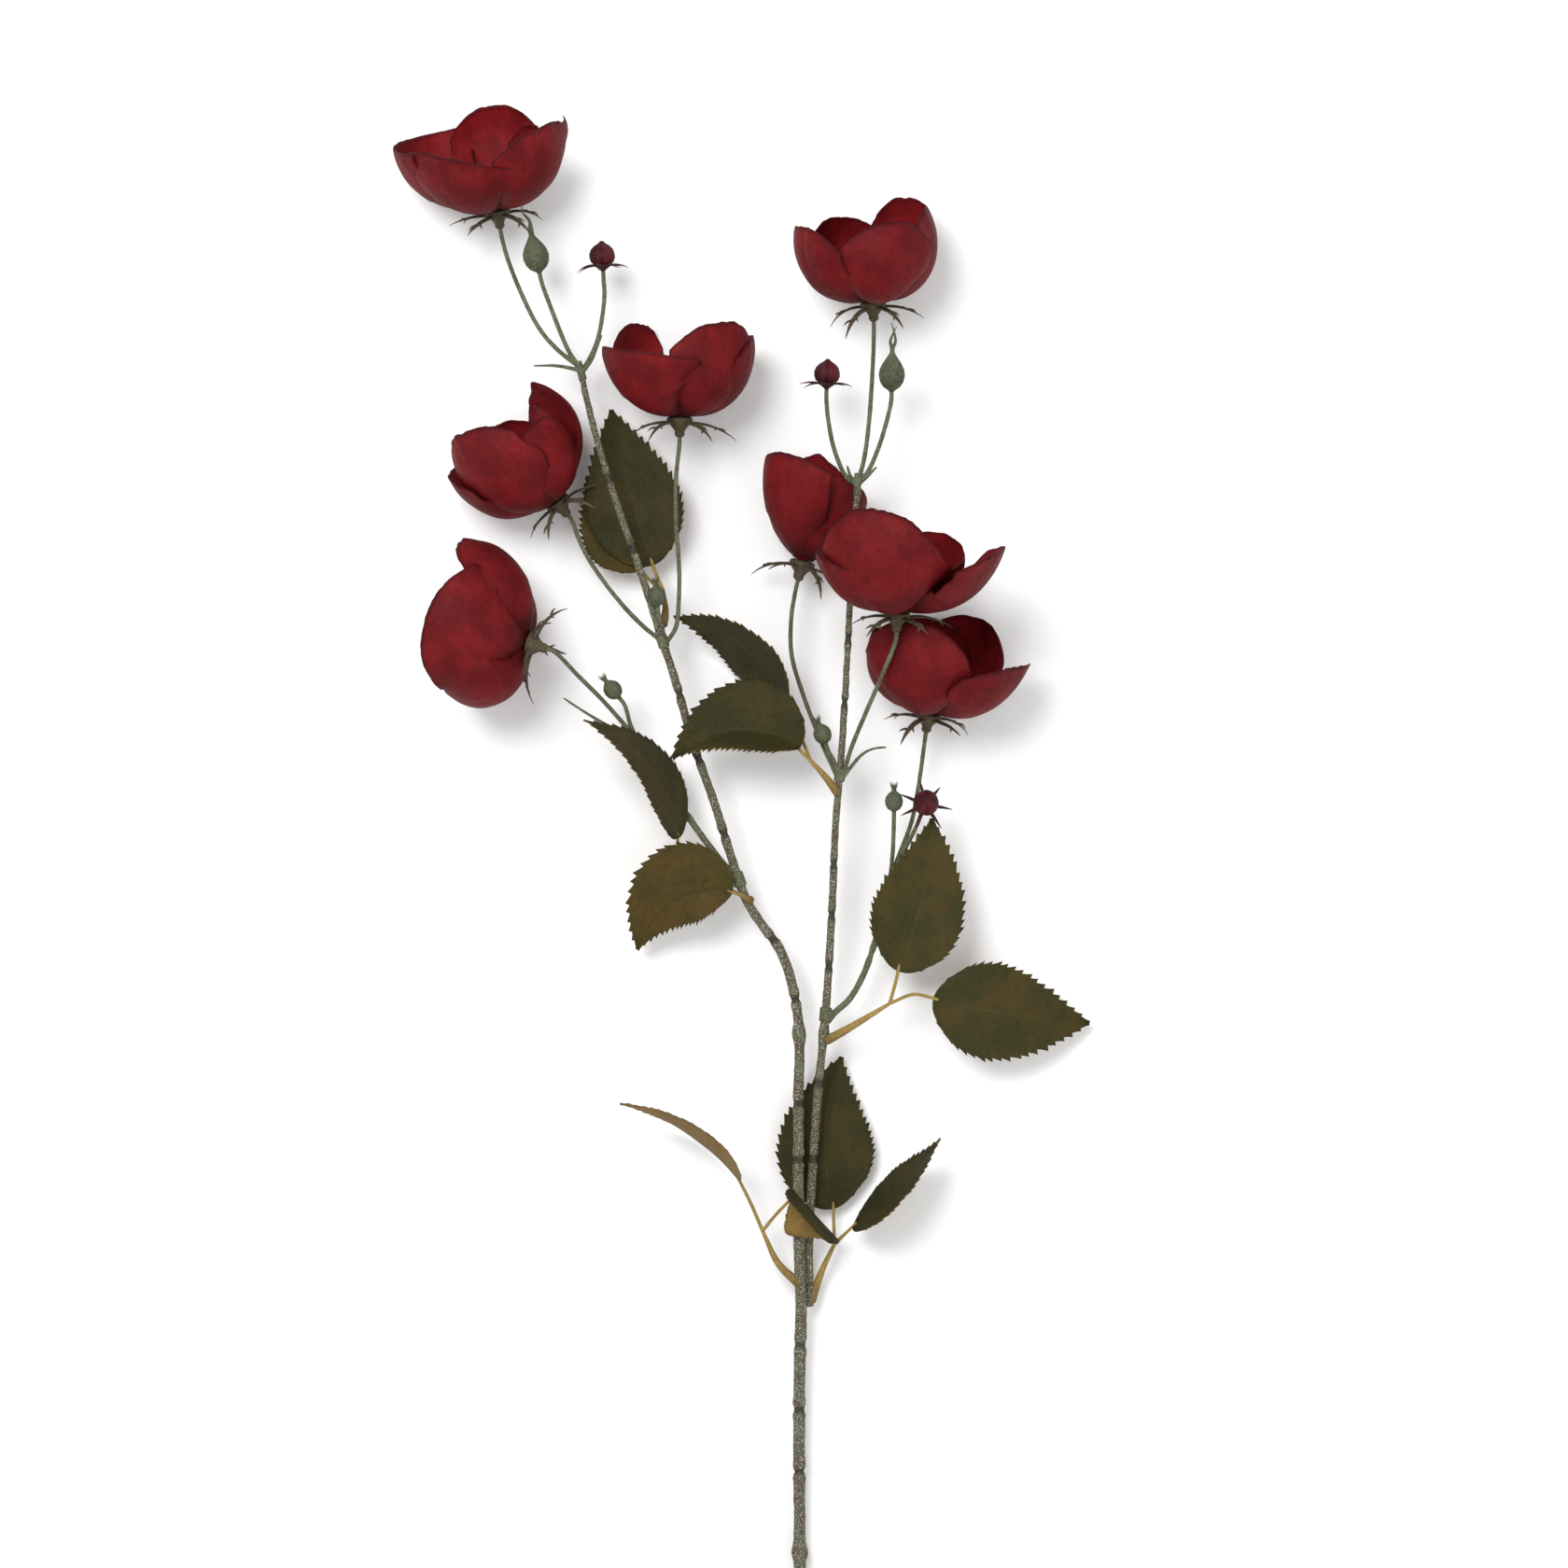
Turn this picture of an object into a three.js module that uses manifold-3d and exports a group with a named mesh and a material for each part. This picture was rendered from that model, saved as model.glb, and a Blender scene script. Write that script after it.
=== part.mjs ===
// A cut rose spray lying on a table: one main stem that forks in two, clusters of flower stalks,
// eight open roses, five buds, four hips, and six leaf stalks with two leaves each.
// Millimetres. +Z is up from the table, +Y runs from the cut end of the stem to the blooms, and +X
// is to the right as seen from above. The spray is drawn with its zero under the fork of the stem,
// and moved at the end so that the origin is under the middle of its box, on the table.

import * as THREE from "three";
import { mergeVertices } from "three/addons/utils/BufferGeometryUtils.js";
import Module from "manifold-3d";

const wasm = await Module();
wasm.setup();

// ---------------------------------------------------------------- driving dimensions
const GAP = 0.3; // clearance between pieces that meet
const STEM_BELOW_FORK = 170; // from the cut end to the fork
const MAIN_STEM_R = 2.5;
const LEFT_STEM_R = 2.4; // at the fork
const LEFT_TIP_R = 1.3;
const RIGHT_STEM_R = 1.9; // at the fork
const RIGHT_TIP_R = 1.2;
const STALK_R = 0.95; // a flower stalk where it leaves the stem
const STALK_TIP_R = 0.85;
const SLEEVE_WALL = 0.8; // the ring that holds a cluster of stalks round a stem
const SLEEVE_LONG = 7;
const PETAL_THICK = 1.1;
const LEAF_WIDE = 42;
const LEAF_THICK = 0.8;
const CALYX_R = 5; // the green cup under the petals
const CALYX_TALL = 7.5;
const SEPAL_LONG = 17;
const SEPAL_WIDE = 3.6;
const SEPAL_THICK = 1;
const RED_BUD_R = 5.4;
const GREEN_BUD_R = 5.6;
const HIP_R = 3.9;

const degrees = THREE.MathUtils.degToRad;
const UP = new THREE.Vector3(0, 0, 1);
const at = (x, y, z) => new THREE.Vector3(x, y, z);

// ---------------------------------------------------------------- colours
const finish = (hex, roughness) =>
  new THREE.MeshStandardMaterial({ color: hex, roughness, metalness: 0 });
const PETAL_RED = finish(0x7a1a1e, 0.75);
const BUD_RED = finish(0x4a1418, 0.7);
const STEM_BROWN = finish(0x6b6a55, 0.8);
const STALK_GREEN = finish(0x5f6a4c, 0.75);
const CALYX_GREEN = finish(0x4f4632, 0.75);
const HIP_GREEN = finish(0x5d6b50, 0.7);
const LEAF_GREEN = finish(0x3b3f22, 0.75);
const LEAF_STALK_OCHRE = finish(0x9a7f32, 0.7);

// ---------------------------------------------------------------- solids
// A three.js geometry as a manifold-3d solid: only its positions, with shared vertices merged.
function solid(geometry) {
  const bare = new THREE.BufferGeometry().setAttribute("position", geometry.getAttribute("position"));
  bare.setIndex(geometry.getIndex());
  const merged = mergeVertices(bare, 1e-4);
  return new wasm.Manifold(
    new wasm.Mesh({
      numProp: 3,
      vertProperties: new Float32Array(merged.getAttribute("position").array),
      triVerts: new Uint32Array(merged.getIndex().array),
    }),
  );
}

// A manifold-3d solid as a three.js geometry.
function geometryOf(made) {
  const { numProp, numVert, vertProperties, triVerts } = made.getMesh();
  const positions = new Float32Array(numVert * 3);
  for (let i = 0; i < numVert; i++) {
    positions.set(vertProperties.subarray(i * numProp, i * numProp + 3), i * 3);
  }
  const geometry = new THREE.BufferGeometry();
  geometry.setAttribute("position", new THREE.BufferAttribute(positions, 3));
  geometry.setIndex(new THREE.BufferAttribute(triVerts, 1));
  geometry.computeVertexNormals();
  return geometry;
}

// The biggest of a solid's separate bodies: a cut can leave a crumb on the far side of what it meets.
function largest(made) {
  return made.decompose().reduce((best, body) => (body.volume() > best.volume() ? body : best));
}

const join = (solids) => solids.reduce((whole, part) => whole.add(part));

// Rings of points, each the same length, closed into one surface with a flat cap at each end.
function skin(rings) {
  const sides = rings[0].length;
  const positions = [];
  const index = [];
  rings.forEach((ring) => ring.forEach((p) => positions.push(p.x, p.y, p.z)));
  for (let j = 0; j + 1 < rings.length; j++) {
    for (let i = 0; i < sides; i++) {
      const a = j * sides + i;
      const b = j * sides + ((i + 1) % sides);
      index.push(a, b, b + sides, a, b + sides, a + sides);
    }
  }
  const last = (rings.length - 1) * sides;
  for (let i = 1; i + 1 < sides; i++) {
    index.push(0, i + 1, i);
    index.push(last, last + i, last + i + 1);
  }
  const geometry = new THREE.BufferGeometry();
  geometry.setAttribute("position", new THREE.Float32BufferAttribute(positions, 3));
  geometry.setIndex(index);
  return geometry;
}

// A round stem along a smooth curve through its points. Its radius runs from one end's to the
// other's, it is pinched at each joint and swollen at each knot, given in mm along the curve.
function stem({ route, radii, joints = [], knots = [], pitch = 10, sides = 7 }, grow = 0) {
  const curve = new THREE.CatmullRomCurve3(route, false, "centripetal");
  const length = curve.getLength();
  const stations = [];
  const steps = Math.max(3, Math.round(length / pitch));
  for (let i = 0; i <= steps; i++) stations.push((length * i) / steps);
  const around = (places, reach) => places.flatMap((s) => [s - reach, s, s + reach]);
  const marks = [...around(joints, 1.5), ...around(knots, 3.5)];
  const inside = marks.filter((s) => s > 1 && s < length - 1);
  const plain = stations.filter((s) => inside.every((m) => Math.abs(m - s) > 1.5));
  const all = [...plain, ...inside].sort((a, b) => a - b);
  const radiusAt = (s) => {
    const share = s / length;
    const pinch = joints.some((m) => Math.abs(m - s) < 0.1) ? 0.8 : 1;
    const swell = knots.some((m) => Math.abs(m - s) < 0.1) ? 1.3 : 1;
    return THREE.MathUtils.lerp(radii[0], radii[1], share) * pinch * swell + grow;
  };
  let across = null;
  const rings = all.map((s) => {
    const u = Math.min(1, Math.max(0, s / length));
    const centre = curve.getPointAt(u);
    const along = curve.getTangentAt(u);
    across = (across ?? (Math.abs(along.z) > 0.9 ? at(1, 0, 0) : UP)).clone();
    across.addScaledVector(along, -across.dot(along)).normalize();
    const other = new THREE.Vector3().crossVectors(along, across);
    const r = radiusAt(s);
    return Array.from({ length: sides }, (_, i) => {
      const turn = (2 * Math.PI * i) / sides;
      const p = centre.clone().addScaledVector(across, r * Math.cos(turn));
      return p.addScaledVector(other, r * Math.sin(turn));
    });
  });
  return solid(skin(rings));
}

// A thin sheet of even thickness on the surface point(u, v), with u from -1 to 1 and v from 0 to 1.
function sheet(point, across, along, thick) {
  const step = 1e-3;
  const layer = (u, v, side) => {
    const du = point(Math.min(1, u + step), v).sub(point(Math.max(-1, u - step), v));
    const dv = point(u, Math.min(1, v + step)).sub(point(u, Math.max(0, v - step)));
    const normal = new THREE.Vector3().crossVectors(du, dv).normalize();
    return point(u, v).addScaledVector(normal, (side * thick) / 2);
  };
  const rings = [];
  for (let j = 0; j <= along; j++) {
    const v = j / along;
    const front = Array.from({ length: across + 1 }, (_, i) => layer((2 * i) / across - 1, v, 1));
    const back = Array.from({ length: across + 1 }, (_, i) => layer(1 - (2 * i) / across, v, -1));
    rings.push([...front, ...back]);
  }
  return solid(stripCaps(rings));
}

// Like skin, but a sheet's ends are capped in strips, because they may be curved.
function stripCaps(rings) {
  const geometry = skin(rings);
  const sides = rings[0].length;
  const half = sides / 2;
  const body = Array.from(geometry.getIndex().array).slice(0, (rings.length - 1) * sides * 6);
  const last = (rings.length - 1) * sides;
  for (let i = 0; i + 1 < half; i++) {
    const a = i;
    const b = i + 1;
    const c = sides - 2 - i;
    const d = sides - 1 - i;
    body.push(a, c, b, a, d, c);
    body.push(last + a, last + b, last + c, last + a, last + c, last + d);
  }
  geometry.setIndex(body);
  return geometry;
}

// A solid turned about its axis, from [radius, height] points that start and end on the axis.
function turned(profile, segments = 10) {
  const points = profile.map(([r, z]) => new THREE.Vector2(r, z));
  return solid(new THREE.LatheGeometry(points, segments).rotateX(Math.PI / 2));
}

// ---------------------------------------------------------------- the spray as a group of meshes
const CRUMB = 0.05; // edges that joining leaves and that move the surface by less are merged away
const spray = new THREE.Group();

function add(name, made, material, place) {
  const mesh = new THREE.Mesh(geometryOf(made.simplify(CRUMB)), material);
  mesh.name = name;
  if (place) {
    mesh.position.copy(place.position);
    mesh.quaternion.copy(place.quaternion);
  }
  spray.add(mesh);
  return mesh;
}

// Which way a head faces: yaw turns it from +Y towards -X, and pitch lifts it from the table. Round
// its own axis, angle 0 is the side that faces up and 90 degrees the side to the right.
function facing(yaw, pitch) {
  const axis = at(0, 1, 0).applyAxisAngle(at(1, 0, 0), degrees(pitch)).applyAxisAngle(UP, degrees(yaw));
  const reference = Math.abs(axis.z) > 0.95 ? at(0, -1, 0) : UP;
  const top = reference.clone().addScaledVector(axis, -reference.dot(axis)).normalize();
  const side = new THREE.Vector3().crossVectors(axis, top);
  const basis = new THREE.Matrix4().makeBasis(top, side, axis);
  const quaternion = new THREE.Quaternion().setFromRotationMatrix(basis);
  return { axis, quaternion };
}

// ---------------------------------------------------------------- petals, sepals and heads
const SEPALS = 5;
const PETAL_ROOT_R = 3.2;
const PETAL_SPREAD = 100; // how far a petal leans from the axis at its root, in degrees
const PETAL_CUP = 0.9; // the lower, the more of its bending a petal does near its root
const RIM_ROUND = 0.2; // how much shorter a petal is at its corners
const PETAL_STEP = 0.8; // a petal that opens wider than another also lies this much further out

// A spoon-shaped petal: its middle line leaves the root almost flat and bends up to its tilt at the
// rim, and it curves across round the axis of the bloom. "lean" makes the rim higher on one side,
// "round" cuts its corners, "narrow" draws it in, and "peak" is a point on it (where, height, width).
// "shift" moves the petal out from the axis.
function petal([angle, tilt, long, wide, special = {}], { root, shift, spread, cup }) {
  const { lean = 0, round = RIM_ROUND, narrow = 0, peak = [0, 0, 1] } = special;
  const first = special.spread ?? spread;
  const steps = 24;
  const bend = (v) => degrees(first + (tilt - first) * v ** cup);
  const spine = [{ r: PETAL_ROOT_R, z: root }];
  for (let i = 0; i < steps * 1.2; i++) {
    const a = bend((i + 0.5) / steps);
    const { r, z } = spine[i];
    spine.push({ r: r + (Math.sin(a) * long) / steps, z: z + (Math.cos(a) * long) / steps });
  }
  const widest = Math.max(...spine.map(({ r }) => r));
  return (u, v) => {
    const point = (peak[1] / long) * Math.exp(-(((u - peak[0]) / peak[2]) ** 2));
    const reach = v * (1 - round * Math.abs(u) ** 3 + lean * u - Math.abs(lean) + point);
    const k = Math.min(spine.length - 2, Math.floor(reach * steps));
    const part = reach * steps - k;
    const r = THREE.MathUtils.lerp(spine[k].r, spine[k + 1].r, part);
    const z = THREE.MathUtils.lerp(spine[k].z, spine[k + 1].z, part);
    const a = bend(reach);
    const half = (wide / 2) * (0.14 + 0.86 * Math.sin((Math.PI / 2) * Math.min(1, reach * 1.6)) ** 0.8);
    const drawn = half * (1 - narrow * THREE.MathUtils.smoothstep(v, 0.6, 1));
    const around = Math.max(9, r * 0.95, r < widest && reach > 0.4 ? widest * 0.75 : 0);
    const turn = (u * drawn) / around;
    const sideways = around * Math.sin(turn);
    const inward = around * (1 - Math.cos(turn));
    const out = r - inward * Math.cos(a) + shift * Math.min(1, 3 * reach);
    const p = at(out, sideways, z + inward * Math.sin(a));
    return p.applyAxisAngle(UP, degrees(angle));
  };
}

const CALYX_NECK_R = 1.9;
const calyxCup = turned(
  [
    [0, 0],
    [CALYX_NECK_R, 0],
    [CALYX_NECK_R + 0.4, 1.4],
    [CALYX_R * 0.62, CALYX_TALL * 0.5],
    [CALYX_R, CALYX_TALL - 1],
    [CALYX_R * 0.9, CALYX_TALL],
    [0, CALYX_TALL],
  ],
  7,
);

// A narrow sepal that leaves the rim of the cup and turns down towards its tip.
function sepal(angle, { long, wide, rim, height, start = 75, end = 125 }) {
  const steps = 12;
  const spine = [{ r: rim - 1.5, z: height }];
  for (let i = 0; i < steps; i++) {
    const a = degrees(start + ((end - start) * (i + 0.5)) / steps);
    const { r, z } = spine[i];
    spine.push({ r: r + (Math.sin(a) * long) / steps, z: z + (Math.cos(a) * long) / steps });
  }
  return (u, v) => {
    const k = Math.min(steps - 1, Math.floor(v * steps));
    const part = v * steps - k;
    const half = (wide / 2) * (1 - 0.85 * v);
    const p = at(
      THREE.MathUtils.lerp(spine[k].r, spine[k + 1].r, part),
      u * half,
      THREE.MathUtils.lerp(spine[k].z, spine[k + 1].z, part),
    );
    return p.applyAxisAngle(UP, degrees(angle));
  };
}

function sepals(sizes, thick, turn) {
  return Array.from({ length: SEPALS }, (_, i) =>
    sheet(sepal(turn + (360 * i) / SEPALS, sizes), 1, 2, thick),
  );
}
const ROSE_SEPAL = { long: SEPAL_LONG, wide: SEPAL_WIDE, rim: CALYX_R, height: CALYX_TALL - 1.6 };
const CALYX = join([calyxCup, ...sepals(ROSE_SEPAL, SEPAL_THICK, 36)]);

// The petals of one rose, joined by the small disc that they grow from.
const DISC_TALL = 1.6;
function corolla({ petals, spread = PETAL_SPREAD, cup = PETAL_CUP }) {
  const root = CALYX_TALL + GAP + DISC_TALL / 2;
  const disc = turned([
    [0, CALYX_TALL + GAP],
    [CALYX_R * 0.8, CALYX_TALL + GAP],
    [CALYX_R * 0.8, CALYX_TALL + GAP + DISC_TALL],
    [0, CALYX_TALL + GAP + DISC_TALL],
  ], 8);
  const shift = ([, tilt]) => (petals.filter((other) => other[1] < tilt).length - 2) * PETAL_STEP;
  const shapes = petals.map((p) => petal(p, { root, shift: shift(p), spread, cup }));
  return largest(join([disc, ...shapes.map((shape) => sheet(shape, 4, 4, PETAL_THICK))]));
}

// Each rose: where its stalk meets it in plan, and which way it faces; then its petals in order
// round the axis, each with its side, how far it opens, its length and width, and the lean of its
// rim. A rose lies on the table, unless it is held above it by the height "above"; "spread" is how
// far its petals lean out at their roots.
const ROSES = {
  rose_top_left: {
    xy: [-131.2, 457], yaw: 9, pitch: 18,
    petals: [
      [50, -12, 56, 56, { peak: [0.8, 6, 0.13] }],
      [110, -24, 46, 44],
      [172, -24, 56, 42],
      [262, -12, 54, 58, { round: 0.04 }],
      [325, -6, 59, 66, { lean: -0.09, round: 0.14 }],
    ],
  },
  rose_top_right: {
    xy: [29, 417], yaw: 2, pitch: 14, spread: 108, cup: 0.8,
    petals: [
      [18, -28, 56, 50, { lean: 0.03 }],
      [84, -30, 54, 46, { round: 0.2 }],
      [134, -36, 65, 46, { round: 0.25 }],
      [220, -30, 49, 54],
      [296, -16, 53, 46],
    ],
  },
  rose_upper_left: {
    xy: [-54, 367], yaw: -1, pitch: 6,
    petals: [
      [44, -30, 59, 54],
      [96, -18, 52, 48],
      [150, -14, 42, 44],
      [222, -22, 57, 30],
      [316, -8, 49, 70, { lean: -0.05, round: 0.08 }],
    ],
  },
  rose_middle_left: {
    xy: [-102.4, 333.6], yaw: 38, pitch: 14, cup: 0.75,
    petals: [
      [20, -34, 50, 50, { lean: 0.08 }],
      [76, -36, 50, 46],
      [128, -28, 57, 50, { peak: [0, 6, 0.25], round: 0.35 }],
      [196, -34, 50, 48],
      [256, -14, 50, 48],
      [312, -28, 63, 48, { lean: -0.1, round: 0.12 }],
    ],
  },
  rose_low_left: {
    xy: [-111, 275.6], yaw: 72, pitch: -12,
    petals: [
      [342, -8, 53, 84, { round: 0.14 }],
      [70, -12, 58, 44],
      [135, -12, 50, 42],
      [215, -2, 46, 44],
      [286, -22, 46, 60, { spread: 126 }],
    ],
  },
  rose_middle: {
    xy: [-3.2, 306], yaw: -14, pitch: 4, spread: 66,
    petals: [
      [322, -6, 51, 44, { round: 0.07 }],
      [26, -18, 48, 46, { lean: -0.05 }],
      [110, -20, 42, 42],
      [195, -22, 50, 40, { peak: [0, 3, 0.2] }],
      [264, -10, 42, 42],
    ],
  },
  rose_centre: {
    xy: [38, 283], yaw: -2, pitch: 14, above: 41,
    petals: [
      [342, -38, 72, 72, { lean: -0.04, narrow: 0.22 }],
      [72, 10, 54, 54],
      [118, -28, 46, 62, { round: 0.1 }],
      [205, -28, 52, 50],
      [285, 8, 44, 50],
    ],
  },
  rose_low_right: {
    xy: [51.6, 241], yaw: -8, pitch: 14,
    petals: [
      [330, -32, 63, 56, { narrow: 0.2 }],
      [60, 6, 51, 56],
      [140, -34, 57, 58],
      [200, -30, 52, 50],
      [264, -16, 48, 50],
    ],
  },
};

// The height at which a solid, turned as given, just touches the table.
function restHeight(made, quaternion) {
  const turnedGeometry = geometryOf(made).applyQuaternion(quaternion);
  turnedGeometry.computeBoundingBox();
  return -turnedGeometry.boundingBox.min.z;
}

const heads = {};
for (const [name, rose] of Object.entries(ROSES)) {
  const { axis, quaternion } = facing(rose.yaw, rose.pitch);
  const petals = corolla(rose);
  const height = restHeight(join([CALYX, petals]), quaternion) + (rose.above ?? 0);
  const position = at(rose.xy[0], rose.xy[1], height);
  heads[name] = { position, axis, quaternion };
  add(`${name}_petals`, petals, PETAL_RED, heads[name]);
  add(`${name}_calyx`, CALYX, CALYX_GREEN, heads[name]);
}

// ---------------------------------------------------------------- buds and hips
const BUD_NECK_R = 1.5;

// A half-open bud: a small cup with five splayed sepals, and a round red bud that sits in it.
const BUD_CUP_TALL = 2.6;
const BUD_CUP_R = 3;
const BUD_SEPAL = {
  long: 10,
  wide: 2,
  rim: BUD_CUP_R,
  height: BUD_CUP_TALL - 0.9,
  start: 80,
  end: 105,
};
const budCup = turned([
  [0, 0],
  [BUD_NECK_R, 0],
  [BUD_CUP_R, BUD_CUP_TALL * 0.6],
  [BUD_CUP_R, BUD_CUP_TALL],
  [0, BUD_CUP_TALL],
]);
const RED_BUD_CALYX = join([budCup, ...sepals(BUD_SEPAL, 0.9, 0)]);
const budBase = BUD_CUP_TALL + GAP;
const RED_BUD = turned([
  [0, budBase],
  [RED_BUD_R * 0.6, budBase],
  [RED_BUD_R * 0.95, budBase + RED_BUD_R * 0.45],
  [RED_BUD_R, budBase + RED_BUD_R * 0.9],
  [RED_BUD_R * 0.78, budBase + RED_BUD_R * 1.4],
  [RED_BUD_R * 0.35, budBase + RED_BUD_R * 1.7],
  [0, budBase + RED_BUD_R * 1.78],
]);

// A closed green bud: a drop whose sepals run together into two long points.
const GREEN_BUD_TALL = GREEN_BUD_R * 3;
const greenDrop = turned([
  [0, 0],
  [BUD_NECK_R * 0.8, 0],
  [GREEN_BUD_R * 0.8, GREEN_BUD_TALL * 0.16],
  [GREEN_BUD_R, GREEN_BUD_TALL * 0.4],
  [GREEN_BUD_R * 0.75, GREEN_BUD_TALL * 0.66],
  [GREEN_BUD_R * 0.25, GREEN_BUD_TALL * 0.93],
  [GREEN_BUD_R * 0.15, GREEN_BUD_TALL],
  [0, GREEN_BUD_TALL],
]);
const greenPoint = (side) =>
  stem({
    route: [
      at(0, 0, GREEN_BUD_TALL * 0.85),
      at(side * 1.2, 0, GREEN_BUD_TALL * 1.15),
      at(side * 1.6, 0, GREEN_BUD_TALL * 1.6),
    ],
    radii: [0.7, 0.4],
    pitch: 5,
    sides: 5,
  });
const GREEN_BUD = join([greenDrop, greenPoint(1), greenPoint(-1)]);

// A hip: a little round fruit with a crown of dry sepals.
const HIP = turned([
  [0, 0],
  [1, 0],
  [HIP_R * 0.8, HIP_R * 0.45],
  [HIP_R, HIP_R * 1.15],
  [HIP_R * 0.75, HIP_R * 1.95],
  [HIP_R * 0.24, HIP_R * 2.3],
  [HIP_R * 0.36, HIP_R * 3.2],
  [0, HIP_R * 2.9],
]);

// Where each bud or hip meets its stalk, and which way it points.
const BUDS = {
  red_bud_left: { xyz: [-86.8, 438, 25], yaw: 3, pitch: 5, kind: "red" },
  red_bud_middle: { xyz: [8.8, 387, 32], yaw: -2, pitch: 5, kind: "red" },
  red_bud_right: { xyz: [50.6, 208.5, 30], yaw: -20, pitch: 75, kind: "red" },
  green_bud_left: { xyz: [-114, 437, 26], yaw: 12, pitch: 8, kind: "green" },
  green_bud_right: { xyz: [36.4, 385.6, 35], yaw: -1, pitch: 8, kind: "green" },
  hip_upper_left: { xyz: [-63.2, 294, 32.5], yaw: 5, pitch: 8, kind: "hip" },
  hip_low_left: { xyz: [-80, 255, 27], yaw: 38, pitch: 10, kind: "hip" },
  hip_middle: { xyz: [8.4, 235.4, 30], yaw: 20, pitch: 10, kind: "hip" },
  hip_low_right: { xyz: [37.6, 206.4, 27], yaw: 0, pitch: 8, kind: "hip" },
};
for (const [name, { xyz, yaw, pitch, kind }] of Object.entries(BUDS)) {
  const { axis, quaternion } = facing(yaw, pitch);
  heads[name] = { position: at(...xyz), axis, quaternion };
  if (kind === "red") {
    add(`${name}_petals`, RED_BUD, BUD_RED, heads[name]);
    add(`${name}_calyx`, RED_BUD_CALYX, CALYX_GREEN, heads[name]);
  } else {
    add(name, kind === "green" ? GREEN_BUD : HIP, HIP_GREEN, heads[name]);
  }
}

// ---------------------------------------------------------------- stems
// Heights are those of the middle of the stem: its cut end lies on the table, and the blooms hold
// the rest of it up.
const FORK_HEIGHT = 11;
const FORK_Y = 1;
const mainStem = {
  route: [
    at(-2, -STEM_BELOW_FORK, MAIN_STEM_R), at(-2.4, -118, 5.2), at(-2.6, -78, 7.2),
    at(-2.6, -43, 9), at(-1.8, FORK_Y - GAP - 8, FORK_HEIGHT),
  ],
  radii: [MAIN_STEM_R, MAIN_STEM_R],
  joints: [30, 92, 119, 147],
  knots: [57],
};
const leftStem = {
  route: [
    at(-1.8, FORK_Y - 8, FORK_HEIGHT), at(-2.8, 22, 13.5), at(-3, 54, 15), at(-3, 81, 16),
    at(-2.8, 112, 17), at(-5.4, 131, 17.5), at(-11, 147, 18), at(-17.4, 156, 19),
    at(-25.2, 168, 20), at(-29.6, 180, 20.6),
    at(-40.4, 214, 22), at(-47.6, 234, 23), at(-55.6, 262, 24.6), at(-60.8, 278, 26),
    at(-69.6, 306, 27), at(-83.4, 346, 28), at(-91.4, 374, 29), at(-95.6, 391, 29),
  ],
  radii: [LEFT_STEM_R, LEFT_TIP_R],
  joints: [65, 89, 162, 246, 300],
  knots: [119],
};
const rightStem = {
  route: [
    at(1.8, FORK_Y - 8, FORK_HEIGHT - 4.2), at(1.4, 18, 8.8), at(3, 50, 11.2), at(5.6, 88, 15),
    at(8, 112, 17), at(10, 140, 19), at(11.6, 170, 21), at(12.8, 200, 24),
    at(14.6, 222, 27), at(16, 242, 31), at(18, 278, 39), at(19.6, 312, 42.6),
    at(21.4, 336, 42.4), at(21.9, 340, 42),
  ],
  radii: [RIGHT_STEM_R, RIGHT_TIP_R],
  joints: [64, 148, 192, 290],
  knots: [118],
};
add("main_stem", stem(mainStem), STEM_BROWN);
add("left_stem", stem(leftStem), STEM_BROWN);
add("right_stem", stem(rightStem), STEM_BROWN);

// ---------------------------------------------------------------- clusters of flower stalks
// A stalk from a point of its cluster, through points in plan, to a bloom, bud or hip. It rises or
// falls evenly, arched by the given height, and enters the head along the head's own axis.
function stalkTo(start, plan, head, arch = 0, radius = STALK_R) {
  const { position, axis } = heads[head];
  const end = position.clone().addScaledVector(axis, -GAP);
  const lead = Math.min(10, start.distanceTo(end) / 3);
  const before = position.clone().addScaledVector(axis, -lead);
  const flat = [start, ...plan.map(([x, y]) => at(x, y, 0)), before];
  const lengths = flat.map((p, i) => (i ? Math.hypot(p.x - flat[i - 1].x, p.y - flat[i - 1].y) : 0));
  const total = lengths.reduce((a, b) => a + b);
  let gone = 0;
  const middle = plan.map(([x, y], i) => {
    gone += lengths[i + 1];
    const share = gone / total;
    return at(x, y, THREE.MathUtils.lerp(start.z, before.z, share) + arch * Math.sin(Math.PI * share));
  });
  return { route: [start, ...middle, before, end], radii: [radius, STALK_TIP_R], sides: 6 };
}

// A small bract or a bare stalk, tapering to a blunt tip.
const bract = (route, radius = 0.9) => ({ route, radii: [radius, 0.55], sides: 6, pitch: 7 });

// The short ring that a cluster's stalks grow from: it follows its stem, round the point given.
function sleeve({ route, radii }, centre) {
  const curve = new THREE.CatmullRomCurve3(route, false, "centripetal");
  const length = curve.getLength();
  let best = 0;
  for (let s = 0; s < length; s++) {
    const away = (place) => curve.getPointAt(place / length).distanceTo(centre);
    if (away(s) < away(best)) best = s;
  }
  const radius = THREE.MathUtils.lerp(radii[0], radii[1], best / length) + GAP + SLEEVE_WALL;
  const ends = [-0.5, 0, 0.5].map((k) => curve.getPointAt((best + k * SLEEVE_LONG) / length));
  return { route: ends, radii: [radius, radius], pitch: 4, sides: 8 };
}

const topLeft = at(-95.4, 392.6, 29);
const topRight = at(22, 343, 41.8);
const upperLeftNode = at(-60, 280, 26);
const middleNode = at(15.2, 221.5, 27.2);
const lowLeftNode = at(-27.5, 177.5, 20.5);
const lowRightNode = at(9.4, 119.5, 18);
const lowLeftSplit = at(-72, 237, 17);
const lowRightSplit = at(36.4, 178, 19.5);

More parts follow.
